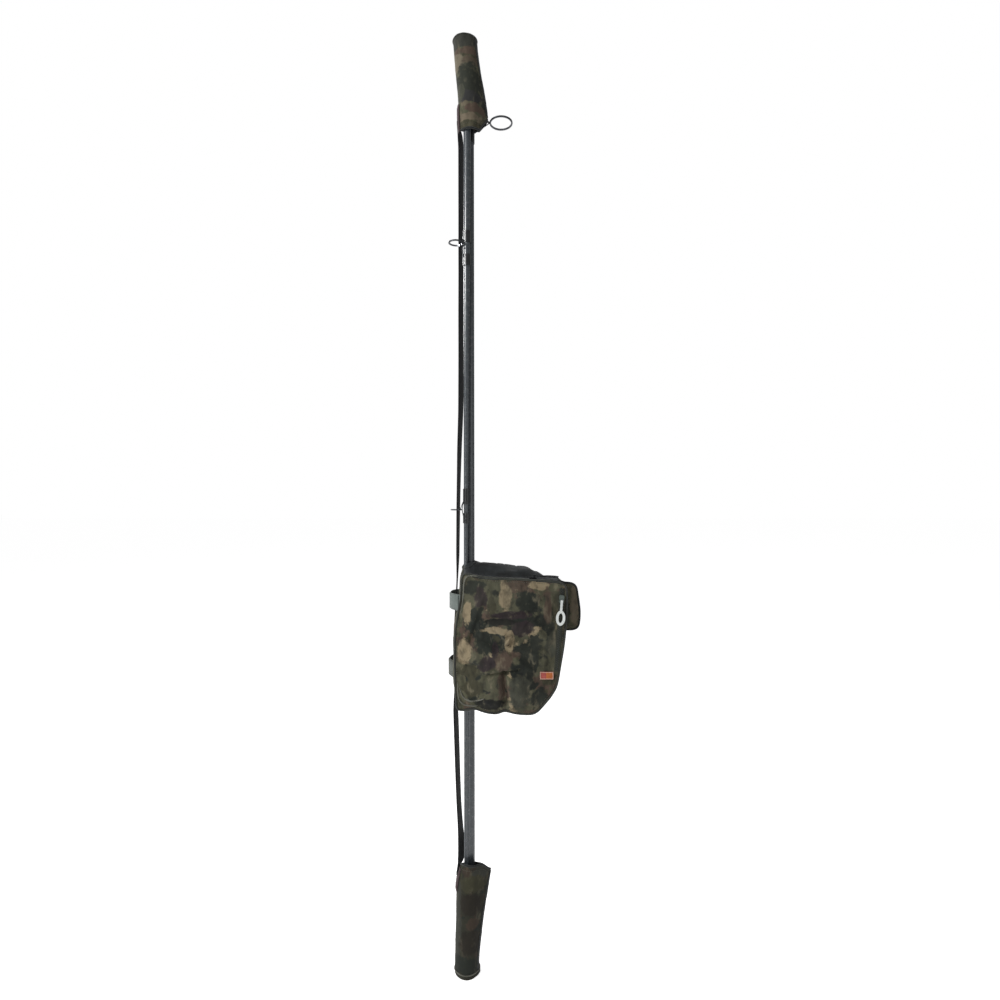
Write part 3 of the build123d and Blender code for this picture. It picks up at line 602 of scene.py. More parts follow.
# How far the top stands above its two seams, as (X, height): full over the rod and reel, then a step down.
TOP_CROWN = [(-20, 17), (-8, 20), (10, 21), (45, 19.5), (84, 18), (108, 16.5), (119, 14.5), (128, 10.5),
             (135, 12.0), (144, 9.0), (155, 6.5), (164, 7.0), (173, 8.5), (184, 5.0)]

outline = resample(rounded([Vector((x, 0, z)) for x, z in CASE_OUTLINE], True), OUTLINE_COUNT, True)


def fold(across, width):
    """A ridge: 1 where across is 0, and nearly 0 past twice width."""
    return math.exp(-(across / width) ** 2)


def off_side_zip(x, z):
    """How far a point of the front lies to the right of the side zip."""
    return x - 174 - (z - 703) * 0.069


def case_depth(x, full):
    """Half the case's depth at its edges: full towards the reel, less at the spine and round the rod."""
    return full - (full - SPINE_DEPTH) * fading(-30, 62, x)


def panel_folds(x, z):
    """Pushes the front panel in (positive) or out, for the pleat, the creases and the slack cloth."""
    pleat = fold(x - 70 + (z - 600) * 0.05, 5.5) * fading(612, 640, z)
    beside_pleat = (fold(x - 46, 17) + fold(x - 98, 20)) * fading(600, 632, z) * smooth(546, 566, z)
    crease = fold(z - 621 - (x - 60) * 0.2, 4.5) * smooth(22, 44, x) * fading(92, 112, x)
    above_crease = fold(z - 634 - (x - 60) * 0.2, 8) * smooth(16, 44, x) * fading(92, 118, x)
    low_crease = fold(z - 637 + x * 0.12, 4.0) * fading(12, 36, x) * smooth(-30, -18, x)
    ridge = fold(z - 742 - (x - 60) * 0.16, 6.0) * smooth(16, 44, x) * fading(112, 146, x)
    under_ridge = fold(z - 728 - (x - 60) * 0.16, 6.0) * smooth(16, 44, x) * fading(112, 146, x)
    left_fold = fold(x - 4 - (z - 700) * 0.35, 5.0) * smooth(640, 690, z) * fading(746, 782, z)
    left_valley = fold(x - 15 - (z - 700) * 0.35, 6.0) * smooth(640, 690, z) * fading(746, 782, z)
    arc = fold(math.hypot(x - 40, z - 672) - 36, 6.0) * smooth(34, 60, x) * smooth(646, 676, z)
    corner = fold(x + z * 0.9 - 516, 6.0) * fading(20, 50, x) * fading(575, 600, z)
    sweep = fold(z - 566 - abs(x - 4) * 0.3, 4.5) * fading(26, 44, x)
    slack = 1.9 * wobble((x, 0, z), 30, 4.0) + 1.1 * wobble((x, 0, z), 13, 9.0)
    inward = 13.0 * pleat + 8.0 * crease + 6.0 * low_crease + 5.0 * under_ridge + 4.0 * left_valley
    outward = (5.0 * beside_pleat + 3.4 * above_crease + 4.6 * ridge + 3.6 * left_fold + 3.2 * arc
               + 3.0 * corner + 3.0 * sweep)
    return inward - outward + slack


def panel_point(edge, share, side):
    """A point of the front (side -1) or back (side 1) panel; share is 1 at the edge and 0 in the middle."""
    x = CASE_CENTRE.x + (edge.x - CASE_CENTRE.x) * share
    z = CASE_CENTRE.z + (edge.z - CASE_CENTRE.z) * share
    if side > 0:
        z -= BACK_DROP * smooth(118, 150, x) * smooth(735, 790, z)
    full, crown = (FRONT_DEPTH, FRONT_CROWN) if side < 0 else (BACK_DEPTH, BACK_CROWN)
    depth = case_depth(x, full) + crown * smooth(0.0, 0.42, 0.9 - share)
    if side < 0:
        flat_edge = smooth(0.0, 0.16, 1 - share)
        depth -= panel_folds(x, z) * flat_edge
        zip_line = fold(off_side_zip(x, z), 11.0) * smooth(600, 640, z)
        depth += (SIDE_ZIP_DEPTH - depth) * min(1.0, zip_line * 1.2)
    else:
        depth += 0.5 * wobble((x, 9, z), 26, 6.0) * smooth(0.0, 0.2, 1 - share)
    return Vector((x, side * depth, z))


def outline_normal(index):
    before, after = outline[index - 1], outline[(index + 1) % OUTLINE_COUNT]
    along = (after - before).normalized()
    return Vector((along.z, 0, -along.x))


def zip_height(x):
    """The height of the top zip's tape along the case."""
    return 803.9 - (x - 20) * 7.0 / 143


def gusset_point(index, across):
    """A point of the cloth between the two panels; across runs from 0 at the front to 1 at the back."""
    edge = outline[index % OUTLINE_COUNT]
    normal = outline_normal(index % OUTLINE_COUNT)
    here = panel_point(edge, 1.0, -1).lerp(panel_point(edge, 1.0, 1), across)
    on_top = smooth(0.1, 0.75, normal.z)
    from_seam = min(across, 1 - across)
    body = smooth(0.0, 0.34, from_seam - 0.13 * on_top)
    puffed = normal * 4.5 * (1 - on_top) + Vector((0, 0, 1)) * curve_value(TOP_CROWN, edge.x) * on_top
    loose = smooth(0, 0.15, from_seam)
    wrinkles = 1.3 * wobble(here, 26, 2.0) + 0.7 * wobble(here, 11, 8.0)
    wrinkles += 2.4 * on_top * wobble((here.x * 0.45, here.y, here.z), 15, 5.0) * smooth(0.1, 0.3, from_seam)
    seat = fold(here.y - TOP_ZIP_Y, 8) * on_top * smooth(8, 24, here.x) * fading(163, 174, here.x)
    here.z += (zip_height(here.x) - 0.9 - here.z) * seat
    return here + puffed * body * (1 - seat) + normal * loose * wrinkles * (1 - seat)


def make_panel(name, side):
    """Rings of points from the edge inward, then a fan of triangles to the middle."""
    rows = [[panel_point(edge, 1 - ring / PANEL_RINGS, side) for edge in outline]
            for ring in range(PANEL_RINGS)]
    faces = quads(PANEL_RINGS, OUTLINE_COUNT, wrap_columns=True)
    vertices = [v * MM for row in rows for v in row] + [panel_point(CASE_CENTRE, 0.0, side) * MM]
    last = (PANEL_RINGS - 1) * OUTLINE_COUNT
    faces += [(last + c, last + (c + 1) % OUTLINE_COUNT, len(vertices) - 1) for c in range(OUTLINE_COUNT)]
    return new_object(name, vertices, faces, CASE_CAMO)


def make_gusset(name, first, last, material):
    rows = [[gusset_point(index, row / GUSSET_ROWS) for index in range(first, last + 1)]
            for row in range(GUSSET_ROWS + 1)]
    return grid(name, rows, material)


def surface_tree(made):
    """For finding where a line meets a piece."""
    mesh = made.data
    return BVHTree.FromPolygons([v.co.copy() for v in mesh.vertices],
                                [tuple(f.vertices) for f in mesh.polygons])


def outline_index(x, z):
    target = Vector((x, 0, z))
    return min(range(OUTLINE_COUNT), key=lambda i: (outline[i] - target).length)


SETTLE_FRAMES = 22


def settle(made, held, cap=4.0):
    """Cloth simulation: slack cloth pushed out by the padding, held where held(vertex index) is true.
    No point moves further than cap."""
    face_away(made, CASE_CENTRE)
    group = made.vertex_groups.new(name="sewn")
    group.add([v.index for v in made.data.vertices if held(v.index)], 1.0, "REPLACE")
    start = [v.co.copy() for v in made.data.vertices]
    cloth_modifier = made.modifiers.new("cloth", "CLOTH")
    settings = cloth_modifier.settings
    settings.quality = 6
    settings.mass = 0.25
    settings.tension_stiffness = settings.compression_stiffness = 18
    settings.shear_stiffness = 6
    settings.bending_stiffness = 0.12
    settings.use_pressure = True
    settings.uniform_pressure_force = 0.8
    settings.shrink_min = -0.035
    settings.vertex_group_mass = "sewn"
    settings.effector_weights.gravity = 0.0
    cloth_modifier.collision_settings.use_collision = False
    cloth_modifier.point_cache.frame_end = SETTLE_FRAMES
    scene = bpy.context.scene
    for frame_number in range(1, SETTLE_FRAMES + 1):
        scene.frame_set(frame_number)
    evaluated = made.evaluated_get(bpy.context.evaluated_depsgraph_get())
    settled = [v.co.copy() for v in evaluated.data.vertices]
    made.modifiers.clear()
    made.vertex_groups.clear()
    scene.frame_set(1)
    for vertex, before, after in zip(made.data.vertices, start, settled):
        move = after - before
        if move.length > cap * MM:
            move = move.normalized() * cap * MM
        vertex.co = before + move
    return made


def edge_held(index):
    """The two outer rings of a panel are sewn down."""
    return index < 2 * OUTLINE_COUNT


def front_held(index):
    """The front's edge, the zip's strip and the corner under the tag stay where they are."""
    x, z = front_points[index].x / MM, front_points[index].z / MM
    return edge_held(index) or abs(off_side_zip(x, z)) < 9 or (x > 130 and z < 630)


front = make_panel("case_front_panel", -1)
front_points = [v.co.copy() for v in front.data.vertices]
front = thicken(settle(front, front_held), CLOTH, CASE_CENTRE)
back = make_panel("case_back_panel", 1)
back = thicken(settle(back, edge_held, cap=2.0), CLOTH, CASE_CENTRE)
corner_bottom_right = outline_index(131, 548)
corner_top_right = outline_index(180, 792)
corner_top_left = outline_index(-9, 806)
corner_bottom_left = outline_index(-21, 549)
GUSSETS = {
    "bottom": (corner_bottom_left, corner_bottom_right, BINDING, "case_bottom"),
    "side": (corner_bottom_right, corner_top_right, CASE_CAMO, "case_side"),
    "top": (corner_top_right, corner_top_left, GUSSET, "case_top"),
    "spine": (corner_top_left, corner_bottom_left + OUTLINE_COUNT, CASE_CAMO, "case_spine"),
}
gusset_trees = {}
for label, (first, last, material, replaced) in GUSSETS.items():
    made = make_gusset(f"case_{label}_cloth", first, last, material)
    columns = last - first + 1
    sewn_rows = 5 if label == "top" else 1
    made = settle(made, lambda index, columns=columns, sewn_rows=sewn_rows: (
        index // columns < sewn_rows or index // columns > GUSSET_ROWS - sewn_rows
        or index % columns in (0, columns - 1)), cap=2.5)
    made = thicken(made, CLOTH, CASE_CENTRE)
    gusset_trees[label] = surface_tree(made)
    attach(made, "root")
    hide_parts(replaced)
for made, replaced in ((front, "case_front"), (back, "case_back")):
    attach(made, "root")
    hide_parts(replaced)

for side, label in ((-1, "front"), (1, "back")):
    edge = [panel_point(p, 1.0, side) + outline_normal(i) * 0.6 for i, p in enumerate(outline)]
    piping = tube(f"case_{label}_piping", edge, 1.9, PIPING, closed=True)
    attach(piping, "root")
    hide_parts("case_bindings")
    seam = [panel_point(p, 0.965, side) + Vector((0, side * 0.5, 0)) for p in outline]
    sewn = stitches(f"case_{label}_stitching", seam, lambda spot, side=side: Vector((0, side, 0)))
    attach(sewn, "root")

front_tree = surface_tree(front)


def on_front(x, z, proud):
    """The point at (x, z) that stands proud of the front panel, in millimetres."""
    hit = front_tree.ray_cast(point(x, -200, z), Vector((0, 1, 0)))[0]
    return Vector((x, (hit.y / MM if hit else -FRONT_DEPTH) - proud, z))


# The folded edges that lie on the front near the spine, as (X, Z).
HEMS = {
    "top": [(18, 806.5), (4, 806.5), (-5, 801), (-9, 788), (-9.5, 770), (-11.5, 752), (-15.5, 732)],
    "bottom": [(-21, 600), (-20.5, 580), (-17, 565), (-9, 557), (4, 555), (18, 557)],
    "fold": [(-17, 590), (-11, 574), (2, 567), (18, 568), (30, 574)],
}
for label, spots in HEMS.items():
    route = rounded([Vector((x, 0, z)) for x, z in spots], False, 8)
    path = [on_front(spot.x, spot.z, 0.9) for spot in route]
    piece = tube(f"case_hem_{label}", path, lambda share: 0.7 + 0.9 * math.sin(math.pi * share), HEM, sides=8,
                 flatten=0.6)
    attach(piece, "root")


PASSAGE_X, PASSAGE_Y = (-1.8, 12.6), (-7.5, 18.4)      # middle and half width of the hole for the rod


def passage_ring(label, way):
    """A loop round both rod sections, sunk a little in the cloth of the case's top (way 1) or bottom
    (way -1). Left of edge_x, where the cloth ends, it slopes towards the middle of the case."""
    edge_x, sunk, slope = -6, 0.4, 1.6
    loop = []
    for angle in (math.tau * step / 64 for step in range(64)):
        x = PASSAGE_X[0] + PASSAGE_X[1] * math.cos(angle)
        y = PASSAGE_Y[0] + PASSAGE_Y[1] * math.sin(angle)
        start = point(max(x, edge_x), y, 680 + way * 250)
        hit = gusset_trees[label].ray_cast(start, Vector((0, 0, -way)))[0]
        loop.append(Vector((x, y, hit.z / MM - way * (sunk + slope * max(0, edge_x - x)))))
    return loop


for label, way in (("top", 1), ("bottom", -1)):
    collar = tube(f"case_{label}_collar", passage_ring(label, way), 1.7, BINDING, closed=True)
    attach(collar, "root")

# ---------- neoprene sleeves
SECTION_COUNT, WALL_ROWS = 112, 76
NEOPRENE = 3.0                # the thickness of the sleeves


def section(stations, left_y, z, outward=0.0):
    """The outline at a height: a taut sheet round two circles. Stations are (Z, leftmost X, left radius,
    rightmost X, right radius, right Y)."""
    left, left_radius, right, right_radius, right_y = columns_at(stations, z, range(1, 6))
    first, second = Vector((left + left_radius, left_y, z)), Vector((right - right_radius, right_y, z))
    points = []
    for step in range(360):
        angle = math.pi + math.tau * step / 360
        direction = Vector((math.cos(angle), math.sin(angle), 0))
        a = first + direction * (left_radius + outward)
        b = second + direction * (right_radius + outward)
        points.append(a if a.dot(direction) > b.dot(direction) else b)
    return resample(points, SECTION_COUNT, True)


def centre_of(points):
    return sum(points, Vector((0, 0, 0))) / len(points)


def level_away(spot, middle):
    """The level direction from middle to spot."""
    return Vector((spot.x - middle.x, spot.y - middle.y, 0)).normalized()


def crease(place, seed):
    """The slack of worn neoprene: long soft dents and a few short ones."""
    x, y, z = place
    return 0.8 * wobble((x, y, z * 0.5), 24, seed) + 0.3 * wobble((x, y, z), 9, seed + 5)


def sleeve_wall(stations, left_y, mouth, closed_end, seed):
    """Rows of points from the mouth to the closed end; mouth(x, y) is the height of the rim there."""
    starts = [mouth(spot.x, spot.y) for spot in section(stations, left_y, mouth(0, 0))]
    outlines, walls = {}, []
    for share in (row / WALL_ROWS for row in range(WALL_ROWS + 1)):
        points = []
        for column, start in enumerate(starts):
            z = start + (closed_end - start) * share
            height = round(z, 1)
            if height not in outlines:
                outlines[height] = section(stations, left_y, height)
            spot = outlines[height][column].copy()
            spot.z = z
            points.append(spot + level_away(spot, centre_of(outlines[height])) * crease(spot, seed))
        walls.append(points)
    return walls


def end_rows(last_row, direction, reach, rounding):
    """Closes a sleeve: a rounded shoulder from the last row, then a nearly flat end."""
    middle = centre_of(last_row)
    shoulder, flat = 7, 5
    rows = []
    for angle in (math.pi / 2 * step / shoulder for step in range(1, shoulder + 1)):
        inset = rounding * (1 - math.cos(angle))
        rise = Vector((0, 0, direction * (reach * math.sin(angle))))
        rows.append([spot - level_away(spot, middle) * inset + rise for spot in last_row])
    for share in (1 - step / (flat + 0.3) for step in range(1, flat + 1)):
        rows.append([Vector((middle.x, middle.y, spot.z)).lerp(spot, share) for spot in rows[shoulder - 1]])
    return rows


def tip_mouth(x, y):
    slant = 31.0 * min(1.0, max(0.0, (x - 19.0) / 22.0))
    return 1690.0 + slant + 17.0 * smooth(-26, 14, y) * (1 - 0.6 * smooth(14, 38, x))


def butt_mouth(x, y):
    return 224.0 - 16.0 * smooth(-26, 14, y) - 9.0 * smooth(22, 44, x)


TIP_STATIONS = [
    (1690.0, -21.3, 22.5, 40.0, 6.5, 0.0),
    (1758.0, -24.0, 22.5, 31.5, 9.0, -3.0),
    (1838.0, -30.5, 22.5, 17.5, 20.0, -8.0),
    (1876.0, -33.5, 22.0, 14.0, 21.0, -8.2),
]
BUTT_STATIONS = [
    (3.0, -30.0, 24.5, 21.5, 20.0, -7.2),
    (18.0, -30.0, 24.5, 18.8, 19.0, -7.2),
    (45.0, -29.6, 24.5, 20.0, 18.0, -7.2),
    (110.0, -28.2, 25.0, 27.0, 13.0, -6.0),
    (170.0, -26.4, 24.5, 37.0, 9.0, -5.0),
    (224.0, -17.5, 22.0, 46.0, 6.0, -4.0),
]
TIP_LEFT_Y, BUTT_LEFT_Y = -7.8, -7.2      # the middles of the sleeves' left sides
# (stations, left Y, mouth, height and facing of the closed end, its reach and rounding, cloth, noise seed,
# replaced nodes, body)
SLEEVES = {
    "tip": (TIP_STATIONS, TIP_LEFT_Y, tip_mouth, 1875.5, 1.0, 3.6, 3.2, TIP_CAMO, 3.0,
            ("tip_sleeve_shell", "tip_sleeve_cap"), "tip_sleeve"),
    "butt": (BUTT_STATIONS, BUTT_LEFT_Y, butt_mouth, 4.5, -1.0, 4.4, 2.4, BUTT_CAMO, 8.0,
             ("butt_sleeve_shell", "butt_sleeve_base"), "butt_sleeve"),
}
SEAM_HALF_WIDTH, SEAM_ANGLE = 4.6, math.radians(-24)      # the tape down each sleeve's side


def side_seam(name, stations, start, closed_end, way, seed):
    """A tape down a sleeve's right side from the height start, lying on its creases."""
    rows = []
    for share in (step / 60 for step in range(61)):
        z = start + (closed_end - start) * share + way * 2.0 * (1 - share)
        right, radius, right_y = columns_at(stations, z, (3, 4, 5))
        centre = Vector((right - radius, right_y, z))
        line = []
        for part in range(9):
            angle = SEAM_ANGLE + SEAM_HALF_WIDTH / radius * (part / 4 - 1)
            away = Vector((math.cos(angle), math.sin(angle), 0))
            line.append(centre + away * (radius + 1.0 + crease(centre + away * radius, seed)))
        rows.append(line)
    return grid(name, rows, BINDING)


for label, (stations, left_y, mouth, closed_end, way, reach, rounding, material, seed, nodes,
            body) in SLEEVES.items():
    walls = sleeve_wall(stations, left_y, mouth, closed_end, seed)
    rows = walls + end_rows(walls[-1], way, reach, rounding)
    made = grid(f"{label}_sleeve_cloth", rows, material, wrap_columns=True)
    close_end(made, rows, SECTION_COUNT)
    middle = centre_of(walls[len(walls) // 2])
    made = thicken(made, NEOPRENE, middle)
    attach(made, body)
    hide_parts(*nodes)

    rim = walls[0]
    rim_middle = centre_of(rim)
    inner_rim = [spot + (Vector((rim_middle.x, rim_middle.y, spot.z)) - spot).normalized() * NEOPRENE / 2
                 for spot in rim]
    hem = tube(f"{label}_sleeve_rim_binding", inner_rim, 2.1, BINDING, closed=True)
    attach(hem, body)
    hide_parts(f"{label}_sleeve_hem")
    seam = [section(stations, left_y, spot.z + 8.0 * way, 0.9)[c] for c, spot in enumerate(rim)]
    sewn = stitches(f"{label}_sleeve_rim_stitching", seam + [seam[0]],
                    lambda spot, middle=rim_middle: level_away(spot, middle))
    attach(sewn, body)

    end_seam = [spot + level_away(spot, rim_middle) * 0.4 for spot in walls[-1 if way > 0 else -3]]
    edging = PIPING if way > 0 else HEM
    piping = tube(f"{label}_sleeve_end_piping", end_seam, 1.2, edging, closed=True, sides=8)
    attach(piping, body)

    seam = side_seam(f"{label}_sleeve_side_seam", stations, mouth(40, 0), closed_end, way, seed)
    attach(thicken(seam, 1.0, middle), body)

# ---------- tabs and elastic strap
TABS = {
    "tip": (TIP_STATIONS, TIP_LEFT_Y, 1689.0, 1743.0, "tip_sleeve"),
    "butt": (BUTT_STATIONS, BUTT_LEFT_Y, 168.0, 214.0, "butt_sleeve"),
}
TAB_DIRECTION = math.radians(184)


def on_left_side(stations, left_y, z, sideways, outward):
    """A point on the sleeve's left side, measured round the curve from the middle of the tab."""
    left, radius = columns_at(stations, z, (1, 2))
    angle = TAB_DIRECTION + sideways / radius
    return Vector((left + radius + math.cos(angle) * (radius + outward),
                   left_y + math.sin(angle) * (radius + outward), z))


for label, (stations, left_y, low, high, body) in TABS.items():
    layers = []
    for inset, outward, reach in ((0.0, 2.1, 0.0), (2.0, 3.2, 9.0)):
        rows = []
        for k in range(25):
            z = low + reach * 0.4 + (high - low - reach) * k / 24
            swell = 0.5 * math.sin(math.pi * k / 24)
            rows.append([on_left_side(stations, left_y, z, side, outward + swell)
                         for side in ((c / 10 - 1) * (10.0 - inset) for c in range(21))])
        layers.append(thicken(grid("layer", rows, TAB), 1.2, Vector((0, -7, (low + high) / 2))))
    made = join(f"{label}_sleeve_sewn_tab", layers)
    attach(made, body)
    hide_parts(f"{label}_sleeve_tab")
    for row, place in enumerate((-6.0, 6.0)):
        line = [on_left_side(stations, left_y, low + 7 + (high - low - 14) * k / 12, place, 3.7)
                for k in range(13)]
        sewn = stitches(f"{label}_tab_stitching_{row}", line, lambda spot: Vector((-1, 0, 0)), 3.4, 2.2)
        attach(sewn, body)

STRAP_WIDTH, STRAP_THICKNESS = 20.0, 1.8
# The strap's route: (Z, X, Y, turn), where turn is how far its flat side is turned from the left, in degrees.
STRAPS = {
    "upper": [(1712, -24.8, -7, -2), (1702, -22.8, -5, -14), (1692, -20.4, 1, -25), (1665, -18.8, 8, -29),
              (1400, -18.8, 12, -29), (1154, -19.2, 12, -28), (1054, -22.2, 12, -20), (951, -24.3, 12, -16),
              (868, -25.2, 11, -14), (838, -25.4, 10, -12), (815, -25.8, 10, -6)],
    "middle": [(815, -25.8, 10, -6), (790, -26.6, 10, 0), (750, -28.6, 10, 0), (690, -31.8, 10, 0),
               (620, -32.9, 10, 0), (565, -31.4, 10, 0), (544.7, -31.0, 10, -10)],
    "lower": [(544.7, -31.0, 10, -10), (520, -29.6, 10, -24), (342, -23.6, 11, -24), (280, -19.6, 8, -28),
              (252, -17.2, 4, -42), (236, -17.0, 2, -44), (225, -18.2, 0, -38), (215, -21.4, -4, -22),
              (207, -24.8, -7, -7), (201, -25.8, -7, -2)],
}


def make_strap(label):
    ordered = sorted(STRAPS[label])
    low, high = ordered[0][0], ordered[-1][0]
    count = max(24, int((high - low) / 5))
    path, turns = [], []
    for step in range(count + 1):
        z = low + (high - low) * step / count
        x, y, turn = columns_at(ordered, z, (1, 2, 3))
        path.append(Vector((x, y, z)))
        turns.append(math.radians(turn + 2.5 * wobble((0, 0, z), 90, 3.0)))
    return ribbon(f"elastic_strap_{label}", path, STRAP_WIDTH, STRAP_THICKNESS, ELASTIC,
                  lambda i: Vector((-math.sin(turns[i]), math.cos(turns[i]), 0)))


strap = make_strap("upper")
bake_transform(strap)
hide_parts("strap_upper")
strap = make_strap("middle")
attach(strap, "root")
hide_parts("strap_middle")
strap = make_strap("lower")
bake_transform(strap)
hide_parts("strap_lower")

# ---------- wrap straps
for label, material in (("upper", WRAP), ("lower", WRAP_DARKER)):
    low, high = box_mm(f"wrap_strap_{label}")
    middle_z, width = (low.z + high.z) / 2, high.z - low.z
    spine = high.x + 3.0
    # From the front of the case's spine round its left to the back, seen from above, as (X, Y).
    shape = [(spine + 9, low.y - 13), (spine, low.y - 6), (low.x + 6.5, low.y + 10),
             (low.x + 1.2, low.y + 24), (low.x + 1.2, high.y - 26), (low.x + 5.5, high.y - 10),
             (spine, high.y + 2), (spine + 9, high.y + 6)]
    path = rounded([Vector((x, y, middle_z)) for x, y in shape], False, 7)
    band = ribbon(f"wrap_strap_{label}_band", path, width - 1.5, 2.0, material)
    lap = [spot + Vector((-1.6, -0.9, 0)) for spot in path[6:30]]
    over = ribbon("lap", lap, width - 4.5, 1.4, material)
    made = join(f"wrap_strap_{label}_loop", [band, over])
    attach(made, "root")
    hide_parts(f"wrap_strap_{label}")
    edge = [spot + Vector((-1.4, -0.8, width / 2 - 3.5)) for spot in path[2:34]]
    sewn = stitches(f"wrap_strap_{label}_stitching", edge, lambda spot: Vector((-0.8, -0.6, 0)), 3.6, 2.2)
    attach(sewn, "root")

# ---------- grab tab
# The tab's outline, clockwise from its top left corner seen from the front, as (X, Z).
GRAB_OUTLINE = [(174, 787), (190, 788.5), (203, 786.5), (210, 780), (213, 765), (215.5, 748), (217, 733),
                (216.5, 716), (213.5, 703), (205, 698), (190, 697.5), (174, 699), (172, 742)]
GRAB_COUNT, GRAB_RINGS = 96, 13
GRAB_EDGE = 2.2               # half the tab's thickness at its edge
grab_low, grab_high = box_mm("grab_tab")
grab_middle_y = (grab_low.y + grab_high.y) / 2
grab_edge = rounded([Vector((x, grab_middle_y, z)) for x, z in GRAB_OUTLINE], True)
grab_edge = resample(grab_edge, GRAB_COUNT, True)
grab_centre = Vector((194, grab_middle_y, 743))
grab_half = (grab_high.y - grab_low.y) / 2
for side, label in ((-1, "front"), (1, "back")):
    rows = []
    for ring in range(GRAB_RINGS):
        share = 1 - ring / GRAB_RINGS
        puff = side * (GRAB_EDGE + (grab_half - GRAB_EDGE) * smooth(0, 0.75, 1 - share))
        rows.append([grab_centre.lerp(spot, share)
                     + Vector((0, puff + 0.5 * wobble(spot * share, 11, 2.0), 0)) for spot in grab_edge])
    made = grid(f"grab_tab_{label}", rows, TAB_CAMO, wrap_columns=True)
    close_end(made, rows, GRAB_COUNT)
    made = thicken(made, 1.2, grab_centre)
    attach(made, "root")
    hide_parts("grab_tab")
rim = tube("grab_tab_rim", grab_edge, 2.6, BINDING, closed=True, flatten=1.15)
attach(rim, "root")
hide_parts("grab_tab_binding")
for side in (-1, 1):
    line = [grab_centre.lerp(spot, 0.86) + Vector((0, side * (grab_half * 0.62), 0)) for spot in grab_edge]
    sewn = stitches(f"grab_tab_stitching_{'front' if side < 0 else 'back'}", line + [line[0]],
                    lambda spot, side=side: Vector((0, side, 0)), 3.6, 2.2)
    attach(sewn, "root")

# ---------- zips and tag
TOOTH_PITCH = 2.2


def zip_teeth(name, start, end, outward):
    """Two rows of interlocking teeth between two points in millimetres."""
    along = (end - start).normalized()
    side = along.cross(outward).normalized()
    vertices, faces = [], []
    for k in range(int((end - start).length / TOOTH_PITCH)):
        centre = start + along * TOOTH_PITCH * (k + 0.5) + side * (0.7 if k % 2 else -0.7)
        first = len(vertices)
        for a, b, c in ((-1, -1, 0), (1, -1, 0), (1, 1, 0), (-1, 1, 0), (-0.7, -0.7, 1), (0.7, -0.7, 1),
                        (0.7, 0.7, 1), (-0.7, 0.7, 1)):
            vertices.append((centre + along * a * 0.75 + side * b * 1.5 + outward * (c * 0.9 - 0.2)) * MM)
        for face in ((0, 3, 2, 1), (4, 5, 6, 7), (0, 1, 5, 4), (1, 2, 6, 5), (2, 3, 7, 6), (3, 0, 4, 7)):
            faces.append(tuple(first + f for f in face))
    return new_object(name, vertices, faces, TEETH, shade_smooth=False)


SIDE_ZIP = (Vector((179.5, -75.6, 783.0)), Vector((168.6, -75.6, 625.0)))
TOP_ZIP = (Vector((20.0, TOP_ZIP_Y, zip_height(20))), Vector((163.0, TOP_ZIP_Y, zip_height(163))))
ZIPS = (("side", SIDE_ZIP, Vector((0, -1, 0))), ("top", TOP_ZIP, Vector((0, 0, 1))))
for label, (start, end), outward in ZIPS:
    across = (end - start).normalized().cross(outward)
    path = [start.lerp(end, k / 40) for k in range(41)]
    tape = ribbon(f"{label}_zip_tape", path, 10.0, 0.9, TAPE, lambda i: across)
    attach(tape, "root")
    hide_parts("zip_tape")
    teeth = zip_teeth(f"{label}_zip_teeth", start + outward * 0.3, end + outward * 0.3, outward)
    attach(teeth, "root")

tag_low, tag_high = box_mm("label_tab")
for name, start, end, material in (("left", 0.0, 0.46, TAG_LEFT), ("right", 0.46, 1.0, LABEL)):
    rows = []
    for step in range(9):
        share = start + (end - start) * step / 8
        y = tag_low.y - 1.6 - 0.8 * math.sin(math.pi * share)
        rows.append([Vector((tag_low.x + (tag_high.x - tag_low.x) * share, y,
                             tag_low.z + (tag_high.z - tag_low.z) * k / 6)) for k in range(7)])
    half = thicken(grid(f"woven_tag_{name}", rows, material), 0.9, Vector((150, 0, 617)))
    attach(half, "root")
    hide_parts("label_tab")
edge = [Vector((x, tag_low.y - 1.9, z)) for x, z in
        ((tag_low.x + 0.8, tag_low.z + 1.0), (tag_high.x - 0.8, tag_low.z + 1.0),
         (tag_high.x - 0.8, tag_high.z - 1.0), (tag_low.x + 0.8, tag_high.z - 1.0))]
border = tube("woven_tag_border", resample(edge, 80, True), 0.9, LABEL_EDGE, closed=True, sides=8)
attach(border, "root")

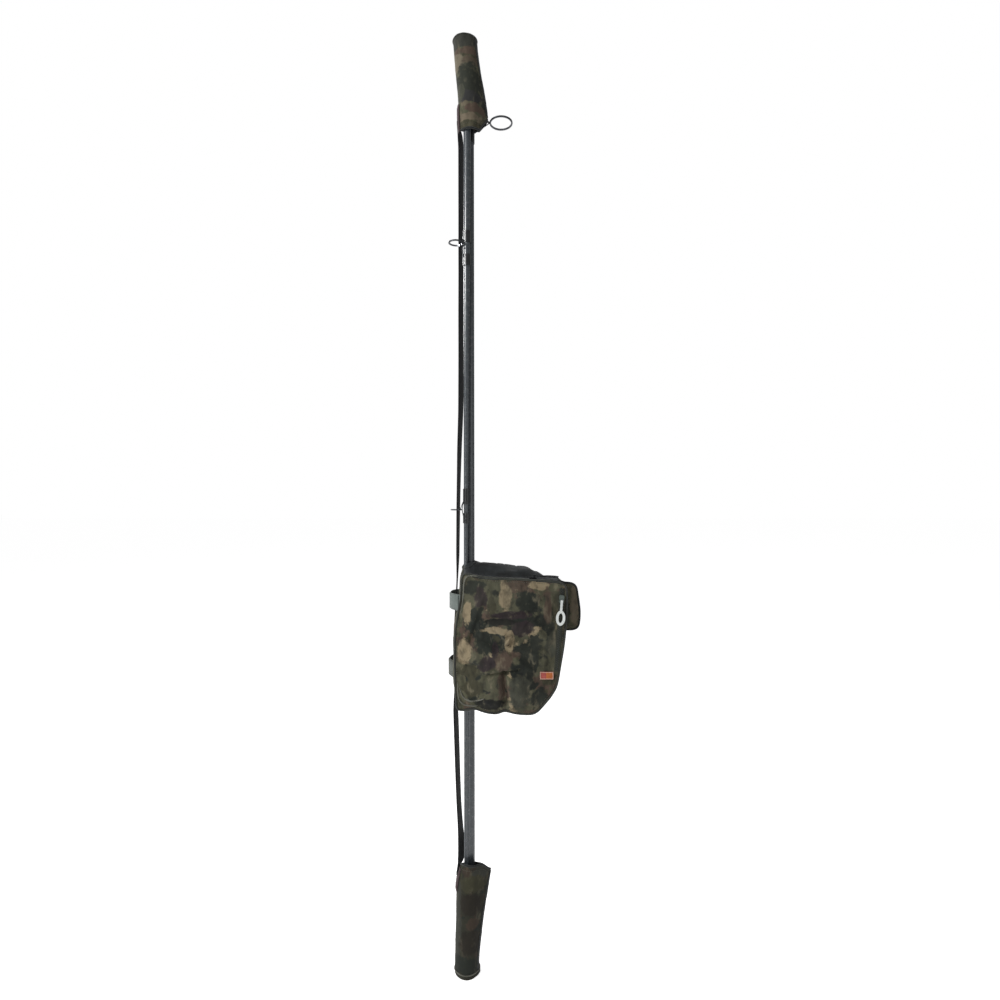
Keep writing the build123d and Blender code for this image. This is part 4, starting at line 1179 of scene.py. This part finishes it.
# ---------- floor, light and camera
CAMERA_PLACE = (0.0609, -1.218, 0.9514)     # in metres, as all of this section
WHITE = (1.0, 1.0, 1.0, 1.0)
bpy.ops.mesh.primitive_plane_add(size=60, location=(0, 0, 0))
floor = bpy.context.object
floor.name = "floor"
floor_paint = Paint("pale_floor")
floor_paint.surface(Roughness=0.9, Specular_IOR_Level=0.1)
glow = floor_paint.add("ShaderNodeLightPath").outputs["Is Camera Ray"]
floor_paint.surface(Emission_Color=WHITE, Emission_Strength=floor_paint.ramp(glow, 0, 1, 0.2, 0.8))
floor_paint.surface(Base_Color=floor_paint.mix(floor_paint.noise(2.0), (0.96, 0.96, 0.96, 1),
                                               (0.99, 0.99, 0.99, 1)))
floor.data.materials.append(floor_paint.material)

world = bpy.data.worlds.new("studio")
bpy.context.scene.world = world
world.use_nodes = True
sky = world.node_tree
background = sky.nodes["Background"]
background.inputs["Color"].default_value = WHITE
seen = sky.nodes.new("ShaderNodeLightPath")
strength = sky.nodes.new("ShaderNodeMapRange")
strength.inputs["To Min"].default_value = 0.2
strength.inputs["To Max"].default_value = 1.0
sky.links.new(seen.outputs["Is Camera Ray"], strength.inputs["Value"])
sky.links.new(strength.outputs["Result"], background.inputs["Strength"])


def area_light(name, place, target, size, power, height=None):
    """A round soft light, or an upright strip where height is given."""
    data = bpy.data.lights.new(name, "AREA")
    data.shape = "RECTANGLE" if height else "DISK"
    data.size = size
    data.size_y = height or size
    data.energy = power
    light = add_object(name, data)
    light.location = place
    light.visible_camera = False
    light.rotation_euler = (Vector(target) - Vector(place)).to_track_quat("-Z", "Y").to_euler()


area_light("key", (-2.6, -1.9, 2.7), (0.05, 0, 0.9), 0.8, 84)
area_light("strip", (-0.22, -0.56, 1.0), (0.0, 0, 1.0), 0.03, 1.6, height=2.1)
area_light("fill", (2.4, -2.0, 1.2), (0.05, 0, 0.9), 2.0, 6)
area_light("rim", (-1.8, 1.6, 2.2), (0.05, 0, 0.9), 0.8, 30)

camera_data = bpy.data.cameras.new("camera")
camera_data.sensor_width = 36
camera_data.lens = 21.6
camera_data.clip_start = 0.05
camera = add_object("camera", camera_data)
camera.location = CAMERA_PLACE
camera.rotation_euler = (math.radians(90), 0, 0)
bpy.context.scene.camera = camera
bpy.context.scene.view_settings.view_transform = "Standard"
